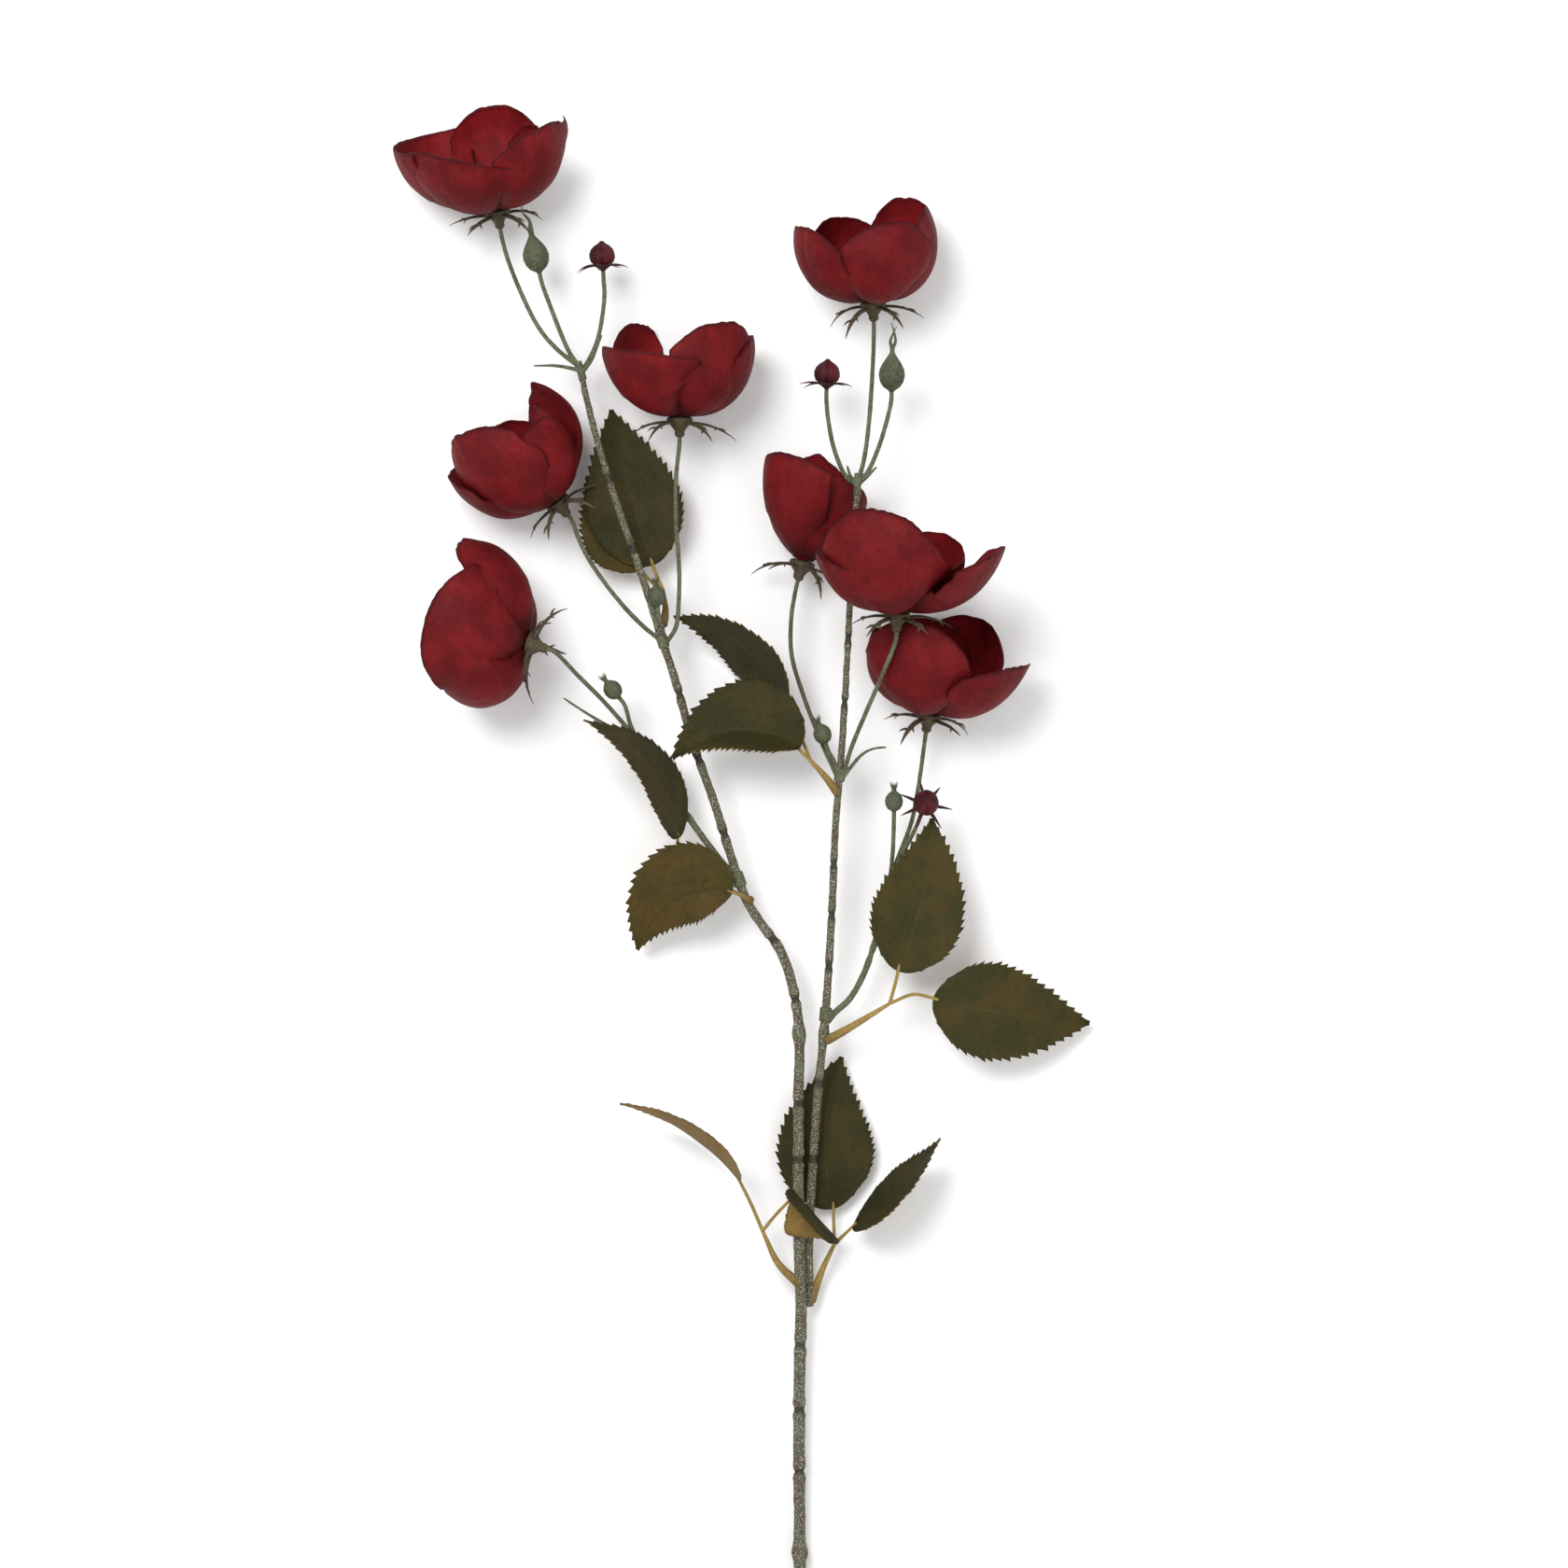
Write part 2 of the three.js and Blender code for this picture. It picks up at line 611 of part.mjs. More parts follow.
const CLUSTERS = {
  stalks_top_left: {
    tubes: [
      { route: [topLeft, at(-96.3, 395.4, 29), at(-97, 398, 29)], radii: [1.7, 1.3], sides: 6 },
      stalkTo(
        at(-96.5, 396, 29),
        [[-106, 403.6], [-113.6, 412.4], [-121.2, 427], [-127.6, 443]],
        "rose_top_left",
      ),
      stalkTo(at(-96.5, 396, 29), [[-101, 402.6], [-109, 422]], "green_bud_left"),
      stalkTo(at(-95.6, 393.6, 29), [[-89.4, 406], [-86, 426]], "red_bud_left", 0, 1),
      bract([at(-95.4, 393.5, 29), at(-91.2, 399, 32), at(-86.8, 409.2, 35)]),
      bract([at(-96, 394.5, 29), at(-105.6, 396.4, 30), at(-116, 396.4, 31)]),
    ],
  },
  stalks_top_right: {
    tubes: [
      { route: [topRight, at(22, 346, 41.8), at(22, 349, 41.8)], radii: [1.6, 1.2], sides: 6 },
      stalkTo(at(22, 346, 41.8), [[24.6, 355], [26.8, 370], [28.6, 394]], "rose_top_right"),
      stalkTo(at(22, 346, 41.8), [[26, 350], [31, 361], [34.8, 373.6]], "green_bud_right"),
      stalkTo(at(22, 345, 41.8), [[17.6, 348], [12.4, 359.6], [9.6, 373.6]], "red_bud_middle", 0, 1),
      bract([at(21, 345.5, 41.8), at(18.8, 349, 43.4), at(17.6, 353, 44.4)], 0.8),
      bract([at(23, 346, 41.8), at(26.6, 349, 43.4), at(30, 352.4, 44.6)], 0.8),
    ],
  },
  stalks_upper_left: {
    ring: sleeve(leftStem, upperLeftNode),
    tubes: [
      stalkTo(
        at(-61, 278.6, 26),
        [[-70, 286], [-80, 296.6], [-92, 313], [-98, 325]],
        "rose_middle_left",
      ),
      stalkTo(
        at(-59, 279, 26),
        [[-55.4, 285], [-54.2, 296], [-54, 310], [-55.4, 330.4], [-55.2, 350.8]],
        "rose_upper_left",
      ),
      stalkTo(at(-60.4, 279.5, 27), [[-61.2, 285.5]], "hip_upper_left", 1, 0.8),
      bract([at(-74, 290, 24.4), at(-76, 291.6, 25.4), at(-78, 294, 26.8)], 0.7),
    ],
  },
  stalks_middle: {
    ring: sleeve(rightStem, middleNode),
    tubes: [
      stalkTo(at(14, 220, 27), [[6.4, 237], [-1.6, 258], [-6, 274], [-6, 290]], "rose_middle", -4),
      stalkTo(at(16, 221, 27.4), [[19, 232], [24.4, 245.6], [32, 263.4]], "rose_centre", 2),
      stalkTo(at(14.6, 221, 28), [[12, 228]], "hip_middle", 1, 0.8),
      bract([at(16, 221, 28), at(24.4, 230.8, 31), at(29.6, 233.2, 32), at(34.4, 233.6, 32)]),
    ],
  },
  branch_low_left: {
    ring: sleeve(leftStem, lowLeftNode),
    tubes: [
      {
        route: [
          at(-28.6, 177, 20.4), at(-36, 184.6, 19), at(-43.2, 194, 17.6),
          at(-49.6, 203, 16.4), at(-60, 219, 15.6), lowLeftSplit,
        ],
        radii: [1.5, 1.2],
      },
      stalkTo(lowLeftSplit, [[-78.6, 244.6], [-86, 253], [-97.2, 264.4]], "rose_low_left"),
      stalkTo(lowLeftSplit, [[-75, 243.4]], "hip_low_left", 0, 0.9),
      bract([lowLeftSplit, at(-82, 241.4, 18.6), at(-96.4, 250, 21), at(-103.6, 254.8, 22)]),
    ],
  },
  branch_low_right: {
    ring: sleeve(rightStem, lowRightNode),
    tubes: [
      {
        route: [
          at(11, 118.6, 18), at(18.8, 125.6, 17.4), at(24.8, 136, 17),
          at(28.8, 147, 17), at(33.2, 162, 18), lowRightSplit,
        ],
        radii: [1.4, 1.2],
      },
      stalkTo(lowRightSplit, [[40.4, 188], [45.6, 202], [48.6, 217.6]], "rose_low_right", -3),
      stalkTo(lowRightSplit, [[37.4, 190]], "hip_low_right", 0, 0.9),
      stalkTo(lowRightSplit, [[42.4, 190], [47, 199]], "red_bud_right", 1, 0.9),
    ],
  },
};

const swollen = (tube) => stem(tube, GAP);
const stemsSwollen = join([mainStem, leftStem, rightStem].map(swollen));
const clusterSolid = ({ ring, tubes }, grow) =>
  join([...tubes, ...(ring ? [ring] : [])].map((t) => stem(t, grow)));
const clustersSwollen = [];
for (const [name, cluster] of Object.entries(CLUSTERS)) {
  add(name, largest(clusterSolid(cluster, 0).subtract(stemsSwollen)), STALK_GREEN);
  clustersSwollen.push(clusterSolid(cluster, GAP));
}

// ---------------------------------------------------------------- leaf stalks and leaves
// Each leaf stalk clasps the stem with a broad sheath, and forks to carry two leaves.
const leafStalk = (sheath, fork, first, second) => [
  { route: [...sheath, fork], radii: [1.9, 0.8], sides: 6, pitch: 6 },
  { route: [fork, ...first], radii: [0.8, 0.6], sides: 6, pitch: 7 },
  { route: [fork, ...second], radii: [0.75, 0.6], sides: 6, pitch: 7 },
];

// Every leaf runs from its stalk to its tip. "bow" bends its midrib to the right of that line and
// "rise" lifts it; "roll" turns the blade about its midrib, and "fold" lifts both halves. "wide" and
// "left" are shares of a full leaf's width, for the whole blade and for its left half.
const LEAVES = {
  leaf_upper_left: {
    from: [-65.6, 312, 14], to: [-83.6, 379, 6],
    bow: -1.2, rise: 2, roll: 0, fold: 6, wide: 1,
  },
  leaf_upper_left_under: {
    from: [-71, 310, 12], to: [-94, 350, 5],
    bow: 0, rise: 1, roll: -10, fold: 4, wide: 0.8,
  },
  leaf_side_left_curled: {
    from: [-54.4, 195, 30], to: [-94, 245, 39],
    bow: 9.6, rise: 3, roll: -66, fold: 4, wide: 0.95,
  },
  leaf_side_left: {
    from: [-31, 173, 26], to: [-72, 147, 12],
    bow: 9, rise: 5, roll: 4, fold: 4, wide: 1.1, left: 0.55,
  },
  leaf_centre_folded: {
    from: [-9, 250.6, 19], to: [-56, 289.6, 21],
    bow: 8.6, rise: 2, roll: 62, fold: 4, wide: 0.95,
  },
  leaf_centre: {
    from: [-2, 234, 33], to: [-56.4, 229, 32],
    bow: 9.6, rise: 1, roll: -23, fold: 23, wide: 1.05, left: 0.6,
  },
  leaf_right_upright: {
    from: [39.6, 138, 24], to: [54, 203, 27],
    bow: 3, rise: 2, roll: 0, fold: 5, wide: 0.95,
  },
  leaf_right: {
    from: [54.8, 126, 22], to: [122, 115, 6],
    bow: 1.5, rise: 3, roll: 4, fold: 5, wide: 1,
  },
  leaf_low_left_curled: {
    from: [-31, 53, 15], to: [-79, 81, 21],
    bow: 4.6, rise: 4, roll: -78, fold: 8, wide: 0.75,
  },
  leaf_low_twisted: {
    from: [-7, 37, 22.5], to: [14.4, 22.6, 20],
    bow: -3, rise: 8, roll: 38, fold: 44, wide: 0.66,
  },
  leaf_low_back: {
    from: [12, 35, 6.4], to: [15.6, 100, 4.5],
    bow: -5, rise: 0, roll: 0, fold: 2, wide: 1,
  },
  leaf_low_right_folded: {
    from: [20.5, 27.5, 12.5], to: [57.4, 66, 24],
    bow: 2, rise: 3, roll: 72, fold: 4, wide: 0.8,
  },
};
const leafBase = (name) => at(...LEAVES[name].from);

const LEAF_STALKS = {
  leaf_stalk_upper_left: leafStalk(
    [at(-61, 286, 25), at(-60, 292, 21)],
    at(-61, 301, 19),
    [leafBase("leaf_upper_left")],
    [at(-66, 304.6, 15), leafBase("leaf_upper_left_under")],
  ),
  leaf_stalk_side_left: leafStalk(
    [at(-23.6, 168, 21), at(-26, 169.6, 24)],
    at(-28, 170.6, 24.6),
    [
      at(-36, 174.6, 17), at(-46, 181.6, 15.6), at(-53.6, 189.6, 22),
      leafBase("leaf_side_left_curled"),
    ],
    [leafBase("leaf_side_left")],
  ),
  leaf_stalk_centre: leafStalk(
    [at(14, 214, 27), at(8, 221.6, 30.6)],
    at(2, 228, 32),
    [leafBase("leaf_centre")],
    [at(-2, 238, 26), leafBase("leaf_centre_folded")],
  ),
  leaf_stalk_right: leafStalk(
    [at(9, 108, 18), at(17.2, 112.6, 21)],
    at(36, 124, 23),
    [leafBase("leaf_right_upright")],
    [at(46.4, 128, 23.4), leafBase("leaf_right")],
  ),
  leaf_stalk_low_left: leafStalk(
    [at(-2.6, 3, 12.5), at(-11.6, 12, 14)],
    at(-18.4, 26, 14.5),
    [at(-24, 39, 14), leafBase("leaf_low_left_curled")],
    [at(-13, 33, 18.4), leafBase("leaf_low_twisted")],
  ),
  leaf_stalk_low_right: leafStalk(
    [at(2.4, -5, 7), at(7, 8, 7)],
    at(12.6, 20, 8),
    [leafBase("leaf_low_right_folded")],
    [leafBase("leaf_low_back")],
  ),
};
const leafStalksSwollen = [];
const clusterCutter = join(clustersSwollen);
for (const [name, tubes] of Object.entries(LEAF_STALKS)) {
  const whole = join(tubes.map((t) => stem(t))).subtract(stemsSwollen).subtract(clusterCutter);
  add(name, largest(whole), LEAF_STALK_OCHRE);
  leafStalksSwollen.push(join(tubes.map((t) => stem(t, GAP))));
}

// An oval blade with a pointed tip, broadest a little below its middle.
const BLADE_TIP = 0.025;
function bladeHalf(v) {
  const oval = Math.sin(Math.PI * v ** 0.72) ** 0.8 * (1 - 0.25 * v ** 3);
  return Math.max(BLADE_TIP, oval + 0.04 * (1 - v));
}
function blade({ from, to, bow, rise, roll, fold, wide, left = 1 }) {
  const base = at(...from);
  const tip = at(...to);
  const line = tip.clone().sub(base).normalize();
  const right = new THREE.Vector3().crossVectors(line, UP).normalize();
  const control = base.clone().lerp(tip, 0.5);
  control.addScaledVector(right, 2 * bow).addScaledVector(UP, 2 * rise);
  const midrib = new THREE.QuadraticBezierCurve3(base, control, tip);
  return (u, v) => {
    const along = midrib.getTangent(v);
    const side = new THREE.Vector3().crossVectors(along, UP).normalize();
    const face = new THREE.Vector3().crossVectors(side, along);
    const turn = degrees(roll);
    const across = side.clone().multiplyScalar(Math.cos(turn));
    across.addScaledVector(face, Math.sin(turn));
    const normal = face.clone().multiplyScalar(Math.cos(turn));
    normal.addScaledVector(side, -Math.sin(turn));
    const reach = ((u * wide * LEAF_WIDE) / 2) * bladeHalf(v) * (u < 0 ? left : 1);
    const lift = degrees(fold);
    const p = midrib.getPoint(v).addScaledVector(across, reach * Math.cos(lift));
    return p.addScaledVector(normal, Math.abs(reach) * Math.sin(lift));
  };
}

// A leaf clears the stalks and the leaves before it: where it would meet one, it is cut back.
let leafCutter = join(leafStalksSwollen);
for (const [name, leaf] of Object.entries(LEAVES)) {
  const whole = sheet(blade(leaf), 2, 7, LEAF_THICK);
  add(name, largest(whole.subtract(leafCutter)), LEAF_GREEN);
  leafCutter = leafCutter.add(sheet(blade(leaf), 2, 7, LEAF_THICK + 2 * GAP));
}

// ---------------------------------------------------------------- the origin
spray.updateMatrixWorld(true);
const box = new THREE.Box3().setFromObject(spray, true);
const middle = box.getCenter(new THREE.Vector3());
spray.position.set(-middle.x, -middle.y, -box.min.z);

export default spray;
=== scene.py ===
# %% [markdown]
# # A cut rose spray, lying on its side
#
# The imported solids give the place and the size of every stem, stalk, leaf and bloom. Here each one
# gets the look of the real thing: cloth petals and toothed cloth leaves, and stems in mottled
# plastic bark.
#
# Everything is in metres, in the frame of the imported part: +Y runs from the cut end to the blooms,
# +Z is up from the table and +X is to the right as seen from above.

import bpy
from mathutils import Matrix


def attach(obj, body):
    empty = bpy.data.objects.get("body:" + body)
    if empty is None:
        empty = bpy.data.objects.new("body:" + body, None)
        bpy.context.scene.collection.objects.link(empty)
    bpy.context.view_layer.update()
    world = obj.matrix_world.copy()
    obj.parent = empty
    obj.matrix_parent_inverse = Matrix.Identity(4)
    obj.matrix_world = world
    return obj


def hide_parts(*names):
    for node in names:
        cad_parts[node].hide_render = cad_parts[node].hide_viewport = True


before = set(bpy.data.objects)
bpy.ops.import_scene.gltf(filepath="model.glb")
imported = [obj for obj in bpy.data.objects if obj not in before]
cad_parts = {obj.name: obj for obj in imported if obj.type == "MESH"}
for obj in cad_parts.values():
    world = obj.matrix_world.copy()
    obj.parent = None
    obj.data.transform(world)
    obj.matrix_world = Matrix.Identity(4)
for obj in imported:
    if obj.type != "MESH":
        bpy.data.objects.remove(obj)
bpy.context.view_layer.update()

import math

import bpy
from mathutils import Matrix, Vector, noise

MM = 0.001
UP = Vector((0, 0, 1))

# %% [markdown]
# ## Where things are
#
# The values below are those of the solids, in millimetres from the point under the fork of the
# stem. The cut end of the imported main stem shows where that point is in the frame.


# %% Find the zero of the drawing
def end_centre(node, away):
    """The middle of the ring of corners that lies farthest along `away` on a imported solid."""
    corners = {tuple(round(c, 6) for c in v.co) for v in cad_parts[node].data.vertices}
    reach = max(Vector(c).dot(away) for c in corners)
    ring = [Vector(c) for c in corners if Vector(c).dot(away) > reach - 0.25 * MM]
    return sum(ring, Vector()) / len(ring)


STEM_END = Vector((-2, -170, 2.5))
ZERO = end_centre("main_stem", Vector((0, -1, 0))) - STEM_END * MM
print("zero of the drawing:", [round(c, 4) for c in ZERO])


def at(x, y, z):
    """A place of the drawing, in metres of the frame."""
    return ZERO + Vector((x, y, z)) * MM


# %% [markdown]
# ## Tools
#
# A sheet is a flat grid whose corners are moved to a surface, then thickened. Its own UV map keeps
# where a point lies on the flat grid, and the materials read it: U runs across, V runs from the
# root to the tip.


# %% Tools for sheets and turned shapes
TURN_SIDES = 20


def pick(*pieces):
    """Select just these pieces, with the first one active."""
    bpy.ops.object.select_all(action="DESELECT")
    for piece in pieces:
        piece.select_set(True)
    bpy.context.view_layer.objects.active = pieces[0]


def apply_modifier(piece, name, kind, **settings):
    """Add a modifier, set it up and apply it."""
    pick(piece)
    modifier = piece.modifiers.new(name, kind)
    for key, value in settings.items():
        setattr(modifier, key, value)
    bpy.ops.object.modifier_apply(modifier=modifier.name)


def sheet(name, columns, rows, place, thick, materials):
    """A sheet on the surface place(u, v), with u from -1 to 1 and v from 0 to 1."""
    bpy.ops.object.select_all(action="DESELECT")
    bpy.ops.mesh.primitive_grid_add(x_subdivisions=columns, y_subdivisions=rows, size=2)
    piece = bpy.context.object
    piece.name = name
    for vertex in piece.data.vertices:
        vertex.co = place(vertex.co.x, (vertex.co.y + 1) / 2)
    for material in materials:
        piece.data.materials.append(material)
    apply_modifier(
        piece, "Thickness", "SOLIDIFY", thickness=thick, offset=0,
        material_offset=len(materials) - 1, material_offset_rim=len(materials) - 1,
    )
    bpy.ops.object.shade_smooth()
    return piece


def turned(name, profile, material):
    """A shape turned round Z, drawn up from a circle through (radius, height) steps in mm."""
    profile = [(radius * MM, height * MM) for radius, height in profile]
    bpy.ops.object.select_all(action="DESELECT")
    radius, height = profile[0]
    bpy.ops.mesh.primitive_circle_add(
        vertices=TURN_SIDES, radius=radius, fill_type="NGON", location=(0, 0, height)
    )
    piece = bpy.context.object
    piece.name = name
    bpy.ops.object.transform_apply(location=True, rotation=True, scale=True)
    bpy.ops.object.mode_set(mode="EDIT")
    bpy.ops.mesh.select_all(action="SELECT")
    for (r0, z0), (r1, z1) in zip(profile, profile[1:]):
        bpy.ops.mesh.extrude_region_move(TRANSFORM_OT_translate={"value": (0, 0, z1 - z0)})
        bpy.ops.transform.resize(value=(r1 / r0, r1 / r0, 1), center_override=(0, 0, z1))
    bpy.ops.mesh.select_all(action="SELECT")
    bpy.ops.mesh.normals_make_consistent(inside=False)
    bpy.ops.object.mode_set(mode="OBJECT")
    piece.data.materials.append(material)
    bpy.ops.object.shade_smooth_by_angle(angle=math.radians(50))
    return piece


def joined(name, pieces):
    """Several pieces as one."""
    pick(*pieces)
    if len(pieces) > 1:
        bpy.ops.object.join()
    piece = bpy.context.object
    piece.name = name
    return piece


def stands_for(piece, slot, *nodes):
    """The piece belongs to the spray's one body and is shown instead of these solids."""
    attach(piece, "root")
    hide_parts(*nodes)


def ramp(value, low, high):
    """0 below low, 1 above high and smooth between them."""
    share = min(1, max(0, (value - low) / (high - low)))
    return share * share * (3 - 2 * share)


def rough(*place):
    """A smooth random value from about -1 to 1 that depends on the place alone."""
    return noise.noise(Vector(place))


# %% [markdown]
# ## Materials
#
# Each look is a node group that gives a colour, a roughness and a height. The material outside it
# holds the shader, so that one look can be used in several tints.


# %% Tools for materials
def put(tree, kind, inputs=None, **settings):
    """Add a node with these settings; an input is a value or another node's output."""
    made = tree.nodes.new(kind)
    for key, value in settings.items():
        setattr(made, key, value)
    for key, value in (inputs or {}).items():
        if isinstance(value, bpy.types.NodeSocket):
            tree.links.new(value, made.inputs[key])
        else:
            made.inputs[key].default_value = value
    return made


def maths(tree, operation, *values):
    """The result of one sum on values or outputs."""
    return put(tree, "ShaderNodeMath", dict(enumerate(values)), operation=operation).outputs[0]


def fade(tree, value, low, high):
    """0 at low, 1 at high and smooth between; low may be the larger of the two."""
    inputs = {"Value": value, "From Min": low, "From Max": high}
    node = put(tree, "ShaderNodeMapRange", inputs, interpolation_type="SMOOTHSTEP")
    return node.outputs["Result"]


def blend(tree, share, first, second):
    """A mix of two colours."""
    node = put(tree, "ShaderNodeMix", {0: share, 6: first, 7: second}, data_type="RGBA")
    return node.outputs[2]


def grain(tree, place, scale, detail):
    """Noise of this scale, in features to a metre or to a unit of the map."""
    inputs = {"Vector": place, "Scale": scale, "Detail": detail, "Roughness": 0.6}
    return put(tree, "ShaderNodeTexNoise", inputs).outputs["Fac"]


def new_look(name, colours):
    """An empty node group that reads the place and the UV map and gives the three outputs."""
    look = bpy.data.node_groups.new(name, "ShaderNodeTree")
    sides = look.interface
    sides.new_socket("Place", in_out="INPUT", socket_type="NodeSocketVector")
    sides.new_socket("Map", in_out="INPUT", socket_type="NodeSocketVector")
    for label in colours:
        sides.new_socket(label, in_out="INPUT", socket_type="NodeSocketColor")
    sides.new_socket("Colour", in_out="OUTPUT", socket_type="NodeSocketColor")
    sides.new_socket("Roughness", in_out="OUTPUT", socket_type="NodeSocketFloat")
    sides.new_socket("Height", in_out="OUTPUT", socket_type="NodeSocketFloat")
    return look, look.nodes.new("NodeGroupInput"), look.nodes.new("NodeGroupOutput")


def finish_look(look, end, colour, roughness, height):
    """Wire up the three outputs of a look."""
    for label, value in (("Colour", colour), ("Roughness", roughness), ("Height", height)):
        look.links.new(value, end.inputs[label])


def material(name, look, colours, bump=0.5, deep=0.3, **shader_values):
    """A material that shows a look in the given colours."""
    made = bpy.data.materials.new(name)
    made.use_nodes = True
    tree = made.node_tree
    shader = tree.nodes["Principled BSDF"]
    for label, value in shader_values.items():
        shader.inputs[label.replace("_", " ")].default_value = value
    place = put(tree, "ShaderNodeTexCoord")
    shown = put(tree, "ShaderNodeGroup", node_tree=look)
    tree.links.new(place.outputs["Object"], shown.inputs["Place"])
    tree.links.new(place.outputs["UV"], shown.inputs["Map"])
    for label, colour in colours.items():
        shown.inputs[label].default_value = (*colour, 1)
    tree.links.new(shown.outputs["Colour"], shader.inputs["Base Color"])
    tree.links.new(shown.outputs["Roughness"], shader.inputs["Roughness"])
    height = {"Height": shown.outputs["Height"], "Strength": bump, "Distance": deep * MM}
    bumped = put(tree, "ShaderNodeBump", height)
    tree.links.new(bumped.outputs["Normal"], shader.inputs["Normal"])
    return made


# %% [markdown]
# The petals are of dyed cloth: blotches of lighter and darker red, fine streaks that fan out from
# the root and a thin dark rim. Towards the root each petal is darkened as painted shade, where it
# lies deep in the cup.

# %% Petal look
petal_look, start, end = new_look("Petal cloth", ["Red", "Light", "Dark"])
across = put(petal_look, "ShaderNodeSeparateXYZ", {0: start.outputs["Map"]})
u = maths(petal_look, "ABSOLUTE", maths(petal_look, "SUBTRACT", across.outputs[0], 0.5))
v = across.outputs[1]
blotches = grain(petal_look, start.outputs["Place"], 70, 4)
mottle = grain(petal_look, start.outputs["Place"], 420, 4)
weave = grain(petal_look, start.outputs["Place"], 2200, 2)
fan = put(
    petal_look, "ShaderNodeVectorMath", {0: start.outputs["Map"], 1: (34, 2.2, 1)},
    operation="MULTIPLY",
)
streaks = grain(petal_look, fan.outputs[0], 1, 3)
tone = blend(
    petal_look, fade(petal_look, blotches, 0.35, 0.68),
    start.outputs["Red"], start.outputs["Light"],
)
tone = blend(
    petal_look, maths(petal_look, "MULTIPLY", fade(petal_look, mottle, 0.5, 0.75), 0.32),
    tone, start.outputs["Dark"],
)
tone = blend(
    petal_look, maths(petal_look, "MULTIPLY", fade(petal_look, streaks, 0.5, 0.75), 0.22),
    tone, start.outputs["Dark"],
)
rim = maths(petal_look, "MAXIMUM", fade(petal_look, v, 0.95, 1.0), fade(petal_look, u, 0.47, 0.5))
# Painted shade: the root of each petal, deep in the cup, is darkened towards the dark red.
root = maths(petal_look, "MULTIPLY", fade(petal_look, v, 0.32, 0.05), 0.65)
dark_rim_and_painted_root_shade = maths(petal_look, "MAXIMUM", maths(petal_look, "MULTIPLY", rim, 0.75), root)
tone = blend(petal_look, dark_rim_and_painted_root_shade, tone, start.outputs["Dark"])
satin = maths(petal_look, "ADD", maths(petal_look, "MULTIPLY", mottle, 0.25), 0.5)
ridges = maths(petal_look, "MULTIPLY", streaks, 0.8)
relief = maths(petal_look, "ADD", ridges, maths(petal_look, "MULTIPLY", weave, 0.25))
relief = maths(petal_look, "ADD", relief, maths(petal_look, "MULTIPLY", mottle, 0.5))
finish_look(petal_look, end, tone, satin, relief)

PETAL = material(
    "petal_cloth", petal_look,
    {"Red": (0.098, 0.0045, 0.006), "Light": (0.155, 0.0075, 0.009), "Dark": (0.026, 0.002, 0.003)},
    bump=0.6, deep=0.5, Specular_IOR_Level=0.1,
)
# Painted light: the inner side of the petals and the disc are a brighter copy of the petal red, to
# make up for the shade inside the cup.
PETAL_IN_PAINTED_LIGHT = material(
    "petal_cloth_inner_painted_light", petal_look,
    {"Red": (0.135, 0.006, 0.008), "Light": (0.22, 0.01, 0.0128), "Dark": (0.035, 0.0024, 0.0038)},
    bump=0.6, deep=0.5, Specular_IOR_Level=0.1,
)
BUD = material(
    "bud_cloth", petal_look,
    {"Red": (0.05, 0.005, 0.008), "Light": (0.1, 0.009, 0.013), "Dark": (0.015, 0.002, 0.004)},
    bump=0.8, deep=0.5, Specular_IOR_Level=0.2,
)

# %% [markdown]
# A leaf has a midrib, side veins that slant towards the tip and blotches where the print changes
# from green to brown.

# %% Leaf look
leaf_look, start, end = new_look("Leaf cloth", ["Green", "Brown", "Vein"])
across = put(leaf_look, "ShaderNodeSeparateXYZ", {0: start.outputs["Map"]})
u = maths(leaf_look, "ABSOLUTE", maths(leaf_look, "SUBTRACT", across.outputs[0], 0.5))
v = across.outputs[1]
climb = maths(leaf_look, "MULTIPLY", v, 9)
slant = maths(leaf_look, "SUBTRACT", climb, maths(leaf_look, "MULTIPLY", u, 5.5))
saw = maths(leaf_look, "SUBTRACT", maths(leaf_look, "FRACT", slant), 0.5)
wave = maths(leaf_look, "ABSOLUTE", saw)
side_veins = maths(
    leaf_look, "MULTIPLY", fade(leaf_look, wave, 0.44, 0.5), fade(leaf_look, u, 0.47, 0.3)
)
midrib = fade(leaf_look, u, 0.022, 0.006)
veins = maths(leaf_look, "MAXIMUM", midrib, maths(leaf_look, "MULTIPLY", side_veins, 0.55))
blotches = grain(leaf_look, start.outputs["Place"], 55, 4)
mottle = grain(leaf_look, start.outputs["Place"], 500, 4)
net = put(
    leaf_look, "ShaderNodeTexVoronoi", {"Vector": start.outputs["Place"], "Scale": 700},
    feature="DISTANCE_TO_EDGE",
)
tone = blend(
    leaf_look, fade(leaf_look, blotches, 0.38, 0.66),
    start.outputs["Green"], start.outputs["Brown"],
)
darker = blend(leaf_look, 0.45, tone, (0, 0, 0, 1))
spots = maths(leaf_look, "MULTIPLY", fade(leaf_look, mottle, 0.5, 0.7), 0.5)
tone = blend(leaf_look, spots, tone, darker)
tone = blend(leaf_look, maths(leaf_look, "MULTIPLY", veins, 0.4), tone, start.outputs["Vein"])
rim = fade(leaf_look, u, 0.485, 0.5)
tone = blend(leaf_look, maths(leaf_look, "MULTIPLY", rim, 0.6), tone, darker)
matt = maths(leaf_look, "ADD", maths(leaf_look, "MULTIPLY", mottle, 0.3), 0.5)
relief = maths(leaf_look, "SUBTRACT", maths(leaf_look, "MULTIPLY", mottle, 0.3), veins)
relief = maths(leaf_look, "ADD", relief, maths(leaf_look, "MULTIPLY", net.outputs[0], 0.8))
finish_look(leaf_look, end, tone, matt, relief)


def leaf_material(name, green, brown, vein):
    return material(
        name, leaf_look, {"Green": green, "Brown": brown, "Vein": vein},
        bump=0.5, deep=0.35, Specular_IOR_Level=0.12,
    )


